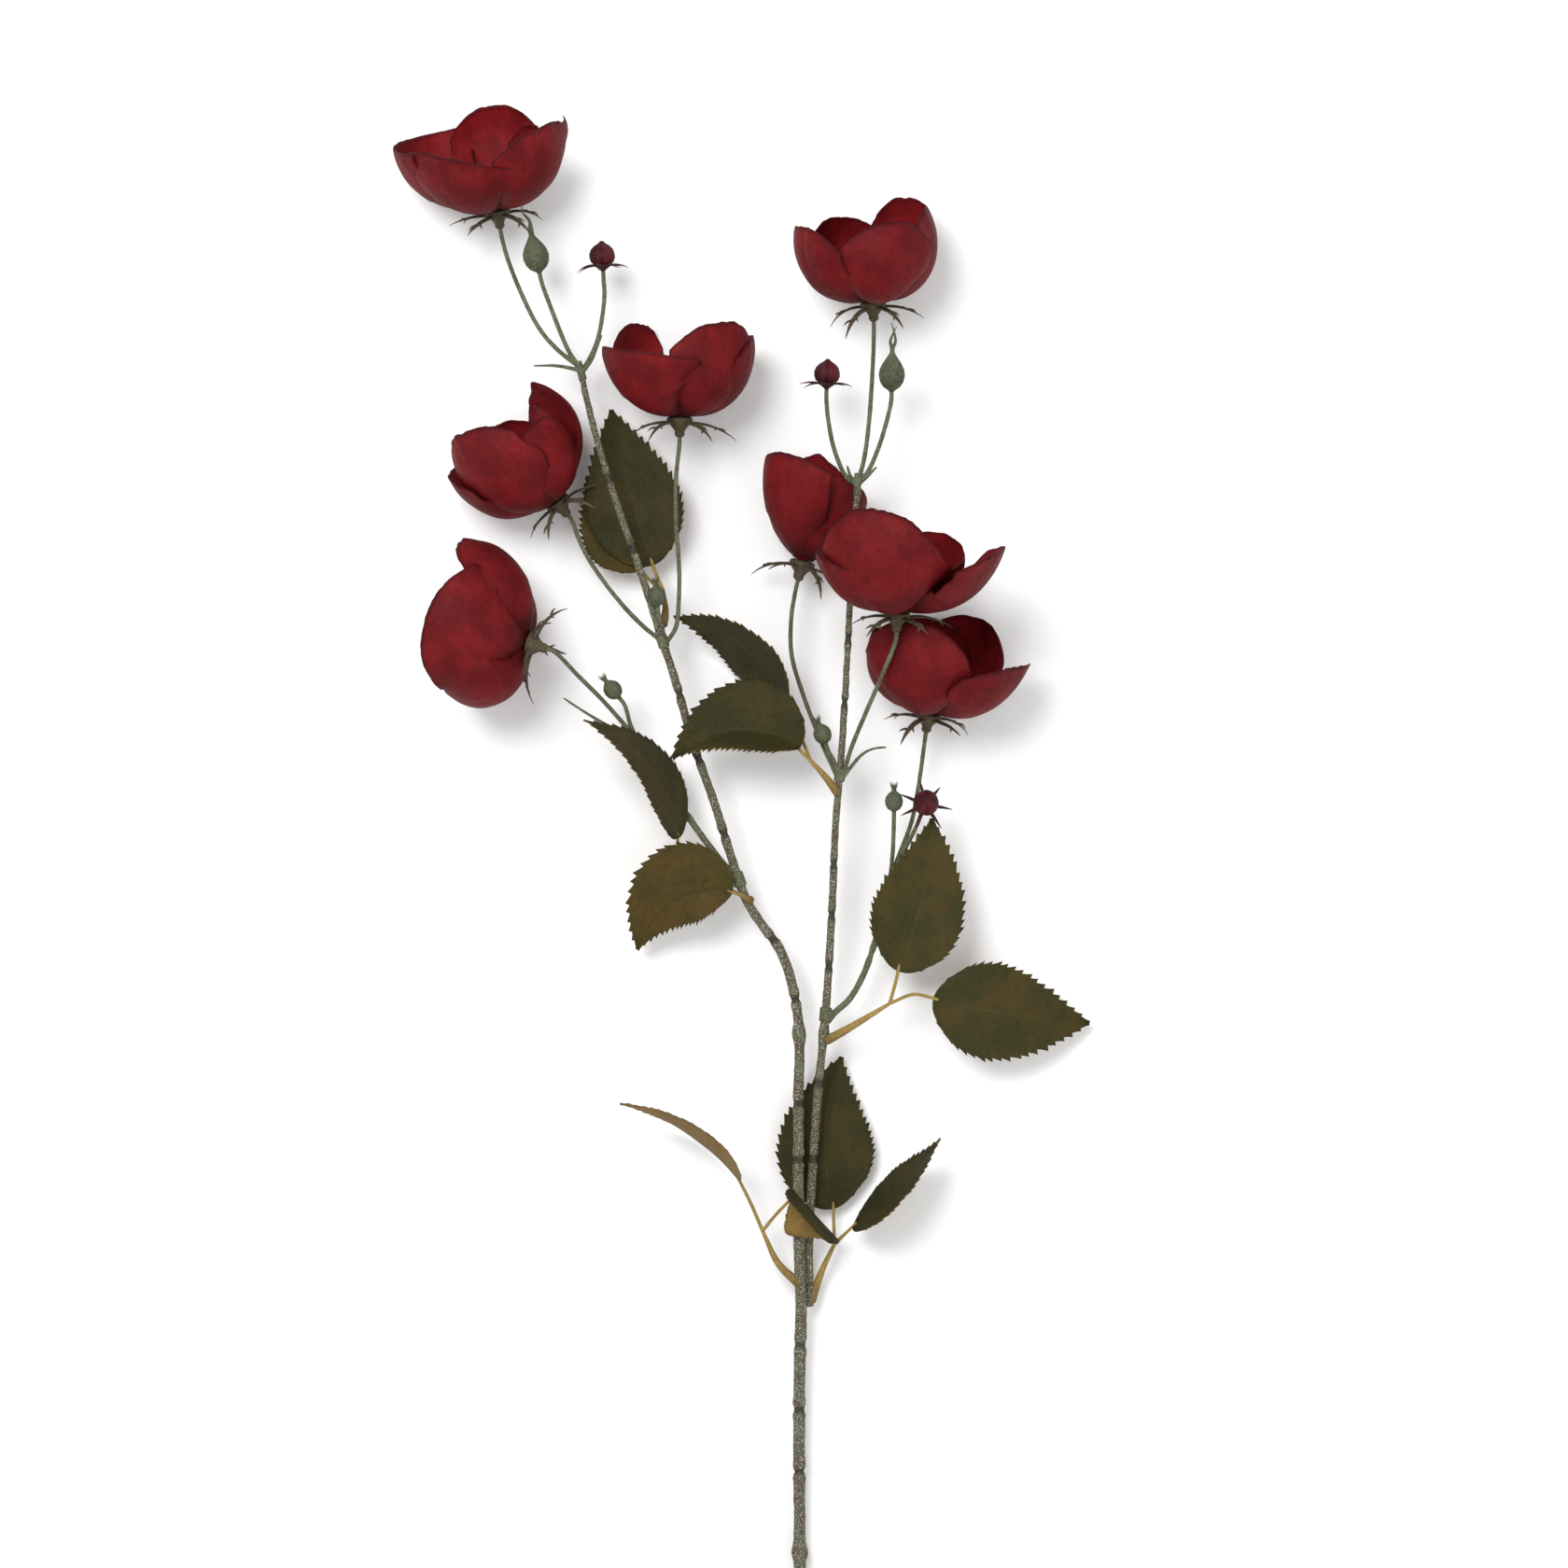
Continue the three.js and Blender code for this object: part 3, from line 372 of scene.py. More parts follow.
LEAF_DARK = leaf_material(
    "leaf_dark", (0.025, 0.024, 0.006), (0.04, 0.031, 0.008), (0.05, 0.045, 0.015)
)
LEAF_OLIVE = leaf_material(
    "leaf_olive", (0.032, 0.03, 0.008), (0.052, 0.037, 0.009), (0.06, 0.05, 0.018)
)
LEAF_BROWN = leaf_material(
    "leaf_brown", (0.046, 0.036, 0.008), (0.07, 0.043, 0.01), (0.03, 0.024, 0.008)
)
LEAF_UNDER = leaf_material(
    "leaf_underside", (0.16, 0.1, 0.03), (0.21, 0.13, 0.038), (0.12, 0.07, 0.02)
)

# %% [markdown]
# Bark, stalks, calyxes and hips are mottled plastic. Only the colours and the depth of the relief
# change between them. The attribute "ring", where a piece has it, darkens the bark.

# %% Bark look
bark_look, start, end = new_look("Mottled plastic", ["Green", "Brown", "Speck"])
ring = put(bark_look, "ShaderNodeAttribute", attribute_name="ring").outputs["Fac"]
place = start.outputs["Place"]
broad = grain(bark_look, place, 110, 4)
fine = grain(bark_look, place, 700, 5)
grit = grain(bark_look, place, 1900, 3)
half_broad = maths(bark_look, "MULTIPLY", broad, 0.5)
mottling = maths(bark_look, "ADD", half_broad, maths(bark_look, "MULTIPLY", fine, 0.5))
share = fade(bark_look, mottling, 0.42, 0.58)
tone = blend(bark_look, share, start.outputs["Green"], start.outputs["Brown"])
specks = fade(bark_look, grit, 0.55, 0.62)
tone = blend(bark_look, maths(bark_look, "MULTIPLY", specks, 0.8), tone, start.outputs["Speck"])
tone = blend(bark_look, maths(bark_look, "MULTIPLY", ring, 0.75), tone, (0.018, 0.014, 0.009, 1))
matt = maths(bark_look, "SUBTRACT", 0.75, maths(bark_look, "MULTIPLY", specks, 0.25))
relief = maths(bark_look, "ADD", fine, maths(bark_look, "MULTIPLY", grit, 0.5))
finish_look(bark_look, end, tone, matt, relief)


def plastic(name, green, brown, speck, deep=0.4):
    return material(
        name, bark_look, {"Green": green, "Brown": brown, "Speck": speck},
        bump=0.7, deep=deep, Specular_IOR_Level=0.25,
    )


BARK = plastic("stem_bark", (0.085, 0.085, 0.045), (0.062, 0.046, 0.024), (0.5, 0.48, 0.4), 0.6)
STALK = plastic("stalk_green", (0.095, 0.105, 0.058), (0.066, 0.062, 0.032), (0.24, 0.25, 0.17))
CALYX = plastic("calyx_olive", (0.07, 0.055, 0.028), (0.05, 0.031, 0.018), (0.15, 0.12, 0.07))
SEPAL_RED = plastic("sepal_maroon", (0.04, 0.01, 0.012), (0.025, 0.008, 0.01), (0.08, 0.03, 0.03))
HIP = plastic("hip_green", (0.075, 0.09, 0.048), (0.05, 0.05, 0.026), (0.14, 0.15, 0.1))
OCHRE = plastic("leaf_stalk_ochre", (0.3, 0.2, 0.05), (0.22, 0.14, 0.035), (0.36, 0.27, 0.1), 0.25)
print("materials:", len(bpy.data.materials))

# %% [markdown]
# ## The blooms
#
# Each rose faces its own way: yaw turns it from +Y towards -X and pitch lifts it from the table.
# Round its axis, side 0 is the side that faces up and side 90 the one to the right. Its calyx in
# the frame shows where it is.


# %% Which way a head faces
def facing(yaw, pitch):
    """The axis of a head, and the turn that takes +Z to it with side 0 upwards."""
    yaw = math.radians(yaw)
    pitch = math.radians(pitch)
    level = Vector((-math.sin(yaw), math.cos(yaw), 0))
    axis = level * math.cos(pitch) + UP * math.sin(pitch)
    top = Vector((0, -1, 0)) if abs(axis.z) > 0.95 else UP
    top = (top - axis * top.dot(axis)).normalized()
    side = axis.cross(top)
    turn = Matrix((top, side, axis)).transposed()
    return axis, turn.to_4x4()


def place_of(node, yaw, pitch):
    """The matrix that puts a head drawn round +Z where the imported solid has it."""
    axis, turn = facing(yaw, pitch)
    return Matrix.Translation(end_centre(node, -axis)) @ turn


# %% [markdown]
# A petal leaves the disc at the angle "spread" to the axis and bends inwards to the angle at its
# rim; "cup" says how early it bends. Its first four values are its side, the angle at its rim, its
# length and its width. The rest is what is special about it: "lean" makes the rim higher on one
# side, "round" takes its corners down, "narrow" draws the rim in, and "peaks" are points of the
# rim, each with its place across, height and breadth.

# %% The roses
ROSES = {
    "rose_top_left": dict(yaw=9, pitch=18, petals=[
        (50, -12, 56, 56, dict(peaks=[(0.8, 6, 0.13)])),
        (110, -24, 46, 44),
        (172, -24, 56, 42),
        (253, -4, 56, 74, dict(lean=0.05, round=0.04)),
        (328, -12, 59, 64, dict(lean=-0.11, round=0.2)),
    ]),
    "rose_top_right": dict(yaw=2, pitch=14, spread=108, cup=0.8, petals=[
        (12, -28, 56, 46, dict(lean=0.03)),
        (84, -34, 57, 46, dict(round=0.2)),
        (134, -36, 59, 46, dict(round=0.25)),
        (220, -30, 49, 54),
        (296, -16, 53, 46),
    ]),
    "rose_upper_left": dict(yaw=-1, pitch=6, petals=[
        (44, -30, 59, 54),
        (96, -18, 52, 48),
        (150, -14, 42, 44),
        (222, -22, 57, 30),
        (316, -8, 49, 70, dict(lean=-0.05, round=0.08)),
    ]),
    "rose_middle_left": dict(yaw=38, pitch=14, cup=0.75, petals=[
        (20, -34, 50, 50, dict(lean=0.08)),
        (76, -36, 50, 46),
        (128, -31, 60, 52, dict(lean=-0.1, peaks=[(-0.3, 5, 0.3)], round=0.35, narrow=0.15)),
        (196, -34, 50, 48),
        (256, -14, 50, 48),
        (322, -42, 68, 54, dict(lean=-0.04, round=0.1, narrow=0.2)),
    ]),
    "rose_low_left": dict(yaw=72, pitch=-12, petals=[
        (352, -8, 56, 66, dict(round=0.28)),
        (70, -12, 58, 44),
        (135, -12, 50, 42),
        (215, -2, 46, 44),
        (284, -20, 53, 68, dict(spread=132)),
    ]),
    "rose_middle": dict(yaw=-14, pitch=4, spread=66, petals=[
        (322, -6, 51, 44, dict(round=0.07)),
        (26, -18, 48, 46, dict(lean=-0.05)),
        (110, -20, 42, 42),
        (195, -22, 50, 40, dict(peaks=[(0, 3, 0.2)])),
        (264, -10, 42, 42),
    ]),
    "rose_centre": dict(yaw=-2, pitch=14, petals=[
        (342, -38, 72, 72, dict(lean=-0.04, narrow=0.22)),
        (72, 10, 54, 54),
        (118, -28, 50, 62, dict(lean=0.12, round=0.1)),
        (205, -28, 52, 50),
        (285, 8, 44, 50),
    ]),
    "rose_low_right": dict(yaw=-8, pitch=14, petals=[
        (338, -32, 63, 64, dict(narrow=0.2)),
        (60, 6, 51, 56),
        (140, -34, 57, 58),
        (200, -30, 52, 50),
        (264, -16, 48, 50),
    ]),
}
PETAL_ROOT = 8.6  # height of the roots over the foot of the calyx
PETAL_ROOT_R = 3.2
PETAL_SPREAD = 100
PETAL_CUP = 0.9
PETAL_STEP = 0.8  # distance from one layer of petals to the next
PETAL_THICK = 0.4
CUP_LIMIT = 9  # the tightest radius that a petal is bent across
SPINE_STEPS = 60


def petal_shape(spec, shift, spread, cup, seed):
    """The surface of one petal, in millimetres round +Z."""
    side, tilt, long, wide = spec[:4]
    special = spec[4] if len(spec) > 4 else {}
    lean = special.get("lean", 0)
    spread = special.get("spread", spread)
    corners = special.get("round", 0.2)
    narrow = special.get("narrow", 0)
    peaks = special.get("peaks", [])
    steps = SPINE_STEPS

    def bend(v):
        return math.radians(spread + (tilt - spread) * v**cup)

    spine = [(PETAL_ROOT_R, PETAL_ROOT)]
    for i in range(int(steps * 1.3)):
        r, z = spine[-1]
        a = bend((i + 0.5) / steps)
        spine.append((r + math.sin(a) * long / steps, z + math.cos(a) * long / steps))

    widest = max(r for r, z in spine[: steps + 1])

    def place(u, v):
        height = 1 - corners * abs(u) ** 3 + lean * u - abs(lean)
        height += 0.012 * rough(u * 2.5, seed, 0) + 0.009 * rough(u * 11, seed, 5)
        for where, tall, broad in peaks:
            height += tall / long * math.exp(-(((u - where) / broad) ** 2))
        reach = v * (1 + (height - 1) * ramp(v, 0.0, 1.0) ** 0.5)
        k = min(len(spine) - 2, int(reach * steps))
        part = reach * steps - k
        r = spine[k][0] + (spine[k + 1][0] - spine[k][0]) * part
        z = spine[k][1] + (spine[k + 1][1] - spine[k][1]) * part
        a = bend(reach)
        broad = math.sin(math.pi / 2 * min(1, reach * 1.6)) ** 0.8
        half = wide / 2 * (0.14 + 0.86 * broad)
        half *= 1 + 0.02 * rough(v * 6, seed, 9) * math.copysign(1, u)
        half *= 1 - narrow * ramp(v, 0.6, 1)
        past_widest = r < widest and k > steps * 0.4
        around = max(CUP_LIMIT, r * 0.95, widest * 0.75 if past_widest else 0)
        turn = u * half / around
        inward = around * (1 - math.cos(turn))
        out = r - inward * math.cos(a) + shift * min(1, 3 * reach)
        up = z + inward * math.sin(a)
        ripple = 1.5 * v * rough(u * 1.6 + seed, v * 2.2, seed)
        ripple += 0.5 * v * rough(u * 5, v * 3 + seed, seed)
        ripple += 0.6 * ramp(v, 0.8, 1) * rough(u * 5, 3, seed)
        out += ripple * math.cos(a)
        up -= ripple * math.sin(a)
        point = Vector((out, around * math.sin(turn), up))
        return Matrix.Rotation(math.radians(side), 3, "Z") @ point * MM

    return place


# %% [markdown]
# A calyx is a turned cup with five narrow sepals that bend back from its rim. Each sepal carries
# two side barbs, and no two bend alike.


# %% Sepals
SEPAL_PARTS = 7


def shoot(name, points, wide, thick, material_used, lift):
    """A pointed shoot of oval section along a smooth line through its points."""
    line = [Vector(p) for p in points]

    def along(v):
        place = v * (len(line) - 1)
        k = min(len(line) - 2, int(place))
        t = place - k
        before = line[max(0, k - 1)]
        after = line[min(len(line) - 1, k + 2)]
        a, b = line[k], line[k + 1]
        return 0.5 * (
            2 * a + (b - before) * t + (2 * before - 5 * a + 4 * b - after) * t**2
            + (3 * a - before - 3 * b + after) * t**3
        )

    bpy.ops.object.select_all(action="DESELECT")
    bpy.ops.mesh.primitive_grid_add(x_subdivisions=8, y_subdivisions=14, size=2)
    piece = bpy.context.object
    piece.name = name
    for vertex in piece.data.vertices:
        turn, v = math.pi * vertex.co.x, (vertex.co.y + 1) / 2
        step = (along(min(1, v + 0.01)) - along(max(0, v - 0.01))).normalized()
        across = step.cross(lift).normalized()
        above = across.cross(step)
        taper = (1 - v) ** 0.7 * (0.75 + 0.25 * math.sin(math.pi * v)) + 0.05
        oval = across * math.cos(turn) * wide / 2 + above * math.sin(turn) * thick / 2
        vertex.co = (along(v) + oval * taper) * MM
    bpy.ops.object.mode_set(mode="EDIT")
    bpy.ops.mesh.select_all(action="SELECT")
    bpy.ops.mesh.remove_doubles(threshold=0.001 * MM)
    bpy.ops.mesh.fill_holes(sides=12)
    bpy.ops.mesh.normals_make_consistent(inside=False)
    bpy.ops.object.mode_set(mode="OBJECT")
    piece.data.materials.append(material_used)
    bpy.ops.object.shade_smooth()
    return piece


def sepal_parts(seed, count, long, wide, rim, height, start, end, material_used, barbs=True):
    """The sepals of one cup, each with its own bend, and their barbs."""
    parts = []
    for i in range(count):
        side = math.radians(36 + 360 * i / count + 14 * rough(i * 1.7, seed, 1))
        length = long * (0.85 + 0.3 * rough(i * 2.3, seed, 2))
        first = start + 10 * rough(i * 1.3, seed, 3)
        last = end + 45 * rough(i * 1.9, seed, 4)
        out = Vector((math.cos(side), math.sin(side), 0))
        line = [out * (rim - 1.8) + UP * height]
        for k in range(SEPAL_PARTS):
            a = math.radians(first + (last - first) * (k + 0.5) / SEPAL_PARTS)
            step = out * math.sin(a) + UP * math.cos(a)
            line.append(line[-1] + step * length / SEPAL_PARTS)
        normal = UP * 0.8 + out * 0.6
        parts.append(shoot("sepal", line, wide, 0.9 + wide / 6, material_used, normal))
        for k, turn in ((3, 1), (4, -1)) if barbs else ():
            a = side + turn * (0.7 + 0.3 * rough(i, k, seed))
            away = Vector((math.cos(a), math.sin(a), -0.45 - 0.3 * rough(i, k + 5, seed)))
            root = line[k]
            tip = root + away * (4.4 + 1.5 * rough(i + 4, k, seed))
            middle = (root + tip) / 2 + out * 0.8 + UP * 0.5
            parts.append(shoot("barb", [root, middle, tip], 1.8, 1.1, material_used, normal))
    return parts


# %% [markdown]
# Each rose is its petals, the disc that they grow from and its calyx. What would reach below the
# table, petal or sepal, is pressed flat on it instead.

# %% Roses
PRESS_BELOW = 2 * MM
DISC_PROFILE = [(3.4, 8.3), (4.8, 8.7), (4.4, 9.4), (2.4, 9.9), (0.4, 10)]
CALYX_PROFILE = [
    (0.9, -1), (1.6, -0.6), (2.2, 0.3), (2, 1.4), (2.9, 3), (4.4, 4.6), (5.6, 6.2), (5.4, 7.4),
    (4.2, 8.1),
]
ROSE_SEPALS = dict(long=24, wide=4.2, rim=5, height=5.1, start=82, end=136)


def pressed(piece):
    """Press what would reach below the table flat on it."""
    for vertex in piece.data.vertices:
        if vertex.co.z < PRESS_BELOW:
            vertex.co.z = PRESS_BELOW * math.exp(vertex.co.z / PRESS_BELOW - 1)


for number, (name, rose) in enumerate(ROSES.items()):
    where = place_of(f"{name}_calyx", rose["yaw"], rose["pitch"])
    spread = rose.get("spread", PETAL_SPREAD)
    cup = rose.get("cup", PETAL_CUP)
    for i, spec in enumerate(rose["petals"]):
        inner = sum(other[1] < spec[1] for other in rose["petals"])
        seed = number * 7.3 + i * 1.9
        shape = petal_shape(spec, (inner - 2) * PETAL_STEP, spread, cup, seed)
        petal = sheet(
            f"{name}_petal_{i + 1}", 36, 40, shape, PETAL_THICK * MM, [PETAL, PETAL_IN_PAINTED_LIGHT]
        )
        petal.data.transform(where)
        pressed(petal)
        stands_for(petal, "petal_red", f"{name}_petals")
    disc = turned(f"{name}_disc", DISC_PROFILE, PETAL_IN_PAINTED_LIGHT)
    disc.data.transform(where)
    stands_for(disc, "petal_red", f"{name}_petals")
    bowl = turned("cup", CALYX_PROFILE, CALYX)
    sepals = sepal_parts(number * 3.1, 5, material_used=CALYX, **ROSE_SEPALS)
    calyx = joined(f"{name}_calyx_visual", [bowl, *sepals])
    calyx.data.transform(where)
    pressed(calyx)
    stands_for(calyx, "calyx_green", f"{name}_calyx")
print("roses:", len(ROSES))

# %% [markdown]
# ## Buds and hips
#
# A red bud is a ball of petals in a small cup with seven thin sepals. A green bud is a ribbed drop
# that ends in two points, and a hip is a small round fruit with a crown of five teeth. The two
# numbers of each are its yaw and pitch.

# %% Buds
BUD_R = 5.3
BUD_BASE = 2.4  # height over the foot of the cup from which the ball's profile is measured
BUD_PROFILE = [  # in shares of BUD_R
    (0.6, -0.1), (0.92, 0.12), (1.04, 0.5), (1.02, 0.85), (0.88, 1.2), (0.62, 1.48), (0.3, 1.66),
    (0.1, 1.86),
]
BUD_CUP_PROFILE = [(0.8, -0.8), (1.5, 0), (3.2, 1.2), (3.8, 2.2)]
BUD_SEPALS = dict(long=10.5, wide=1.9, rim=4.6, height=1.7, start=82, end=118)
BUDS = {
    "red_bud_left": (3, 5),
    "red_bud_middle": (-2, 5),
    "red_bud_right": (-20, 75),
}
for number, (name, (yaw, pitch)) in enumerate(BUDS.items()):
    where = place_of(f"{name}_calyx", yaw, pitch)
    ball = turned(
        f"{name}_ball", [(BUD_R * r, BUD_BASE + BUD_R * z) for r, z in BUD_PROFILE], BUD
    )
    for vertex in ball.data.vertices:
        swell = 0.4 * rough(*(vertex.co * 350))
        vertex.co += Vector((vertex.co.x, vertex.co.y, 0)).normalized() * swell * MM
    ball.data.transform(where)
    stands_for(ball, "bud_red", f"{name}_petals")
    cup = turned("cup", BUD_CUP_PROFILE, SEPAL_RED)
    sepals = sepal_parts(
        40 + number * 2.7, 7, material_used=SEPAL_RED, barbs=False, **BUD_SEPALS
    )
    calyx = joined(f"{name}_calyx_visual", [cup, *sepals])
    calyx.data.transform(where)
    stands_for(calyx, "calyx_green", f"{name}_calyx")

DROP_PROFILE = [
    (0.8, -0.8), (1.5, 0), (3.6, 1.4), (5, 3.6), (5.6, 6.4), (5.3, 8.8), (4.2, 11.2), (2.6, 13.6),
    (1.3, 15.6), (0.8, 17.2),
]
GREEN_BUDS = {"green_bud_left": (12, 8), "green_bud_right": (-1, 8)}
BUD_POINTS = {
    "green_bud_left": [
        [(0, 0.6, 18), (0, 0.4, 22), (0.4, -1.6, 26), (0.4, -1.2, 30)],
        [(0, -0.4, 18), (0.3, 0.6, 22), (0.6, -0.6, 25)],
    ],
    "green_bud_right": [
        [(0, 0.3, 18), (0, 1.3, 21), (0.3, 0.6, 25), (0.6, -0.9, 29.4)],
        [(0, -0.3, 18), (0.2, -0.9, 21), (0.4, 0.3, 24.4), (0.2, 1.7, 27.4)],
    ],
}
for name, (yaw, pitch) in GREEN_BUDS.items():
    where = place_of(name, yaw, pitch)
    drop = turned("drop", DROP_PROFILE, HIP)
    for vertex in drop.data.vertices:
        angle = math.atan2(vertex.co.y, vertex.co.x)
        rib = 1 + 0.05 * math.cos(5 * angle) * ramp(vertex.co.z, 0, 5 * MM)
        vertex.co.x *= rib
        vertex.co.y *= rib
    points = [
        shoot("point", [(0, 0, 14), *line], 1.9, 1.5, HIP, Vector((1, 0, 0)))
        for line in BUD_POINTS[name]
    ]
    bud = joined(f"{name}_visual", [drop, *points])
    bud.data.transform(where)
    stands_for(bud, "hip_green", name)
print("buds:", len(BUDS) + len(GREEN_BUDS))

# %% Hips
HIP_PROFILE = [
    (0.7, -0.8), (1.1, 0), (2.6, 0.8), (3.6, 2.4), (3.9, 4.4), (3.5, 6.2), (2.3, 7.7), (1.1, 8.7),
    (0.9, 9.6), (1.2, 10.4),
]
HIPS = {
    "hip_upper_left": (5, 8),
    "hip_low_left": (38, 10),
    "hip_middle": (20, 10),
    "hip_low_right": (0, 8),
}
for number, (name, (yaw, pitch)) in enumerate(HIPS.items()):
    where = place_of(name, yaw, pitch)
    ball = turned("ball", HIP_PROFILE, HIP)
    crown = []
    for i in range(5):
        a = 2 * math.pi * i / 5
        out = Vector((math.cos(a), math.sin(a), 0))
        tip = out * (2 + 0.8 * rough(i, number, 1)) + UP * (12.6 + rough(i, number, 2))
        line = [out * 0.8 + UP * 9.6, out * 1.3 + UP * 11, tip]
        crown.append(shoot("tooth", line, 1.1, 0.7, HIP, out))
    hip = joined(f"{name}_visual", [ball, *crown])
    hip.data.transform(where)
    stands_for(hip, "hip_green", name)
print("hips:", len(HIPS))

# %% [markdown]
# ## Stems and stalks
#
# Every stem and stalk is a curve with a round bevel, thick or thin from point to point. The curves
# of one piece are joined, and a voxel remesh with some smoothing melts them together at the forks.
# A cloud texture gives them the lumps of bark.


# %% Round stems from curves
def smooth_line(points, pitch=1.5):
    """Points at an even pitch on a smooth curve through the given ones, and their distances."""
    line = [Vector(p) for p in points]
    line = [2 * line[0] - line[1], *line, 2 * line[-1] - line[-2]]
    result = []
    for before, a, b, after in zip(line, line[1:], line[2:], line[3:]):
        times = [0]
        for p, q in ((before, a), (a, b), (b, after)):
            times.append(times[-1] + max(1e-3, (q - p).length) ** 0.5)
        t0, t1, t2, t3 = times
        steps = max(1, round((b - a).length / pitch))
        for i in range(steps):
            t = t1 + (t2 - t1) * i / steps
            a1 = before * (t1 - t) / (t1 - t0) + a * (t - t0) / (t1 - t0)
            a2 = a * (t2 - t) / (t2 - t1) + b * (t - t1) / (t2 - t1)
            a3 = b * (t3 - t) / (t3 - t2) + after * (t - t2) / (t3 - t2)
            b1 = a1 * (t2 - t) / (t2 - t0) + a2 * (t - t0) / (t2 - t0)
            b2 = a2 * (t3 - t) / (t3 - t1) + a3 * (t - t1) / (t3 - t1)
            result.append(b1 * (t2 - t) / (t2 - t1) + b2 * (t - t1) / (t2 - t1))
    result.append(line[-2])
    gone = [0]
    for p, q in zip(result, result[1:]):
        gone.append(gone[-1] + (q - p).length)
    return result, gone


def tube(route, radii, joints=(), knots=()):
    """A curve along a route in millimetres, pinched at its joints and swollen at its knots."""
    line, gone = smooth_line(route)
    curve = bpy.data.curves.new("tube", "CURVE")
    curve.dimensions = "3D"
    curve.bevel_depth = MM
    curve.bevel_resolution = 4
    curve.use_fill_caps = True
    spline = curve.splines.new("POLY")
    spline.points.add(len(line) - 1)
    for point, place, s in zip(spline.points, line, gone):
        point.co = (*(ZERO + place * MM), 1)
        radius = radii[0] + (radii[1] - radii[0]) * s / gone[-1]
        for joint in joints:
            radius *= 1 - 0.26 * math.exp(-(((s - joint) / 1) ** 2))
            radius *= 1 + 0.12 * math.exp(-(((abs(s - joint) - 3) / 1.5) ** 2))
        for knot in knots:
            radius *= 1 + 0.45 * math.exp(-(((s - knot) / 3.4) ** 2))
        point.radius = radius
    made = bpy.data.objects.new("tube", curve)
    bpy.context.collection.objects.link(made)
    pick(made)
    bpy.ops.object.convert(target="MESH")
    return bpy.context.object


clouds = bpy.data.textures.new("bark_lumps", "CLOUDS")
clouds.noise_scale = 4 * MM
clouds.noise_depth = 2


def melted(
    node, tubes, material_used, slot, voxel, smooth, grow, lumps, rings=(), reach=(2.2, 3.4)
):
    """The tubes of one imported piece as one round, lumpy skin, darker at its rings.

    The voxels, the growth and the lumps are in millimetres, and so is the reach: the distances
    from a ring where its dark band starts to fade and has gone.
    """
    piece = joined(f"{node}_visual", tubes)
    piece.data.materials.clear()
    piece.data.materials.append(material_used)
    apply_modifier(piece, "Even", "REMESH", mode="VOXEL", voxel_size=voxel * MM)
    apply_modifier(piece, "Round", "SMOOTH", factor=0.5, iterations=smooth)
    apply_modifier(piece, "Lumps", "DISPLACE", texture=clouds, texture_coords="LOCAL",
                   strength=lumps * MM, mid_level=0.5 - grow / lumps)
    bpy.ops.object.shade_smooth()
    ring = piece.data.attributes.new("ring", "FLOAT", "POINT")
    for vertex, mark in zip(piece.data.vertices, ring.data):
        near = min(((vertex.co - place).length / MM for place in rings), default=99)
        mark.value = 1 - ramp(near, *reach)
    stands_for(piece, slot, node)
    print(node, len(piece.data.polygons))


# %% [markdown]
# The main stem carries the two long stems, side by side from the fork. Joints are the thin rings
# of the bark and knots are its knuckles, both in millimetres along the stem.

# %% Stems
STEMS = {
    "main_stem": dict(
        route=[(-2, -170, 2.5), (-2.4, -118, 5.2), (-2.6, -78, 7.2), (-2.6, -43, 9),
               (-1.8, -6, 11)],
        radii=(2.5, 2.5), joints=(30, 92, 119, 147), knots=(57,),
    ),
    "left_stem": dict(
        route=[(-1.8, -8, 11), (-2.8, 22, 13.5), (-3, 54, 15), (-3, 81, 16), (-2.8, 112, 17),
               (-5.4, 131, 17.5), (-11, 147, 18), (-17.4, 156, 19), (-25.2, 168, 20),
               (-29.6, 180, 20.6), (-40.4, 214, 22), (-47.6, 234, 23), (-55.6, 262, 24.6),
               (-60.8, 278, 26), (-69.6, 306, 27), (-83.4, 346, 28), (-91.4, 374, 29),
               (-95.8, 393, 29)],
        radii=(2.4, 1.3), joints=(65, 89, 134, 162, 212, 246, 275, 300, 340, 372), knots=(119,),
    ),
    "right_stem": dict(
        route=[(1.8, -7, 6.8), (1.4, 18, 8.8), (3, 50, 11.2), (5.6, 88, 15), (8, 112, 17),
               (10, 140, 19), (11.6, 170, 21), (12.8, 200, 24), (14.6, 222, 27), (16, 242, 31),
               (18, 278, 39), (19.6, 312, 42.6), (21.4, 336, 42.4), (22, 343, 41.8)],
        radii=(1.9, 1.2), joints=(34, 64, 97, 148, 170, 192, 262, 290, 318), knots=(118,),
    ),
}
for node, how in STEMS.items():
    line, gone = smooth_line(how["route"], 0.5)
    rings = [
        ZERO + line[min(range(len(gone)), key=lambda i: abs(gone[i] - joint))] * MM
        for joint in how["joints"]
    ]
    melted(
        node, [tube(**how)], BARK, "stem_brown",
        voxel=0.34, smooth=2, grow=0.1, lumps=0.55, rings=rings,
    )


# %% [markdown]
# A cluster is a knuckle on its stem and the stalks that leave it. Each stalk goes through points
# in plan to the head it carries, rising or falling evenly, and enters it along the head's axis.

# %% Clusters of stalks
KNUCKLE_LONG = 7
HEADS = {
    **{name: (f"{name}_calyx", rose["yaw"], rose["pitch"]) for name, rose in ROSES.items()},
    **{name: (f"{name}_calyx", yaw, pitch) for name, (yaw, pitch) in BUDS.items()},
    **{name: (name, yaw, pitch) for name, (yaw, pitch) in {**GREEN_BUDS, **HIPS}.items()},
}


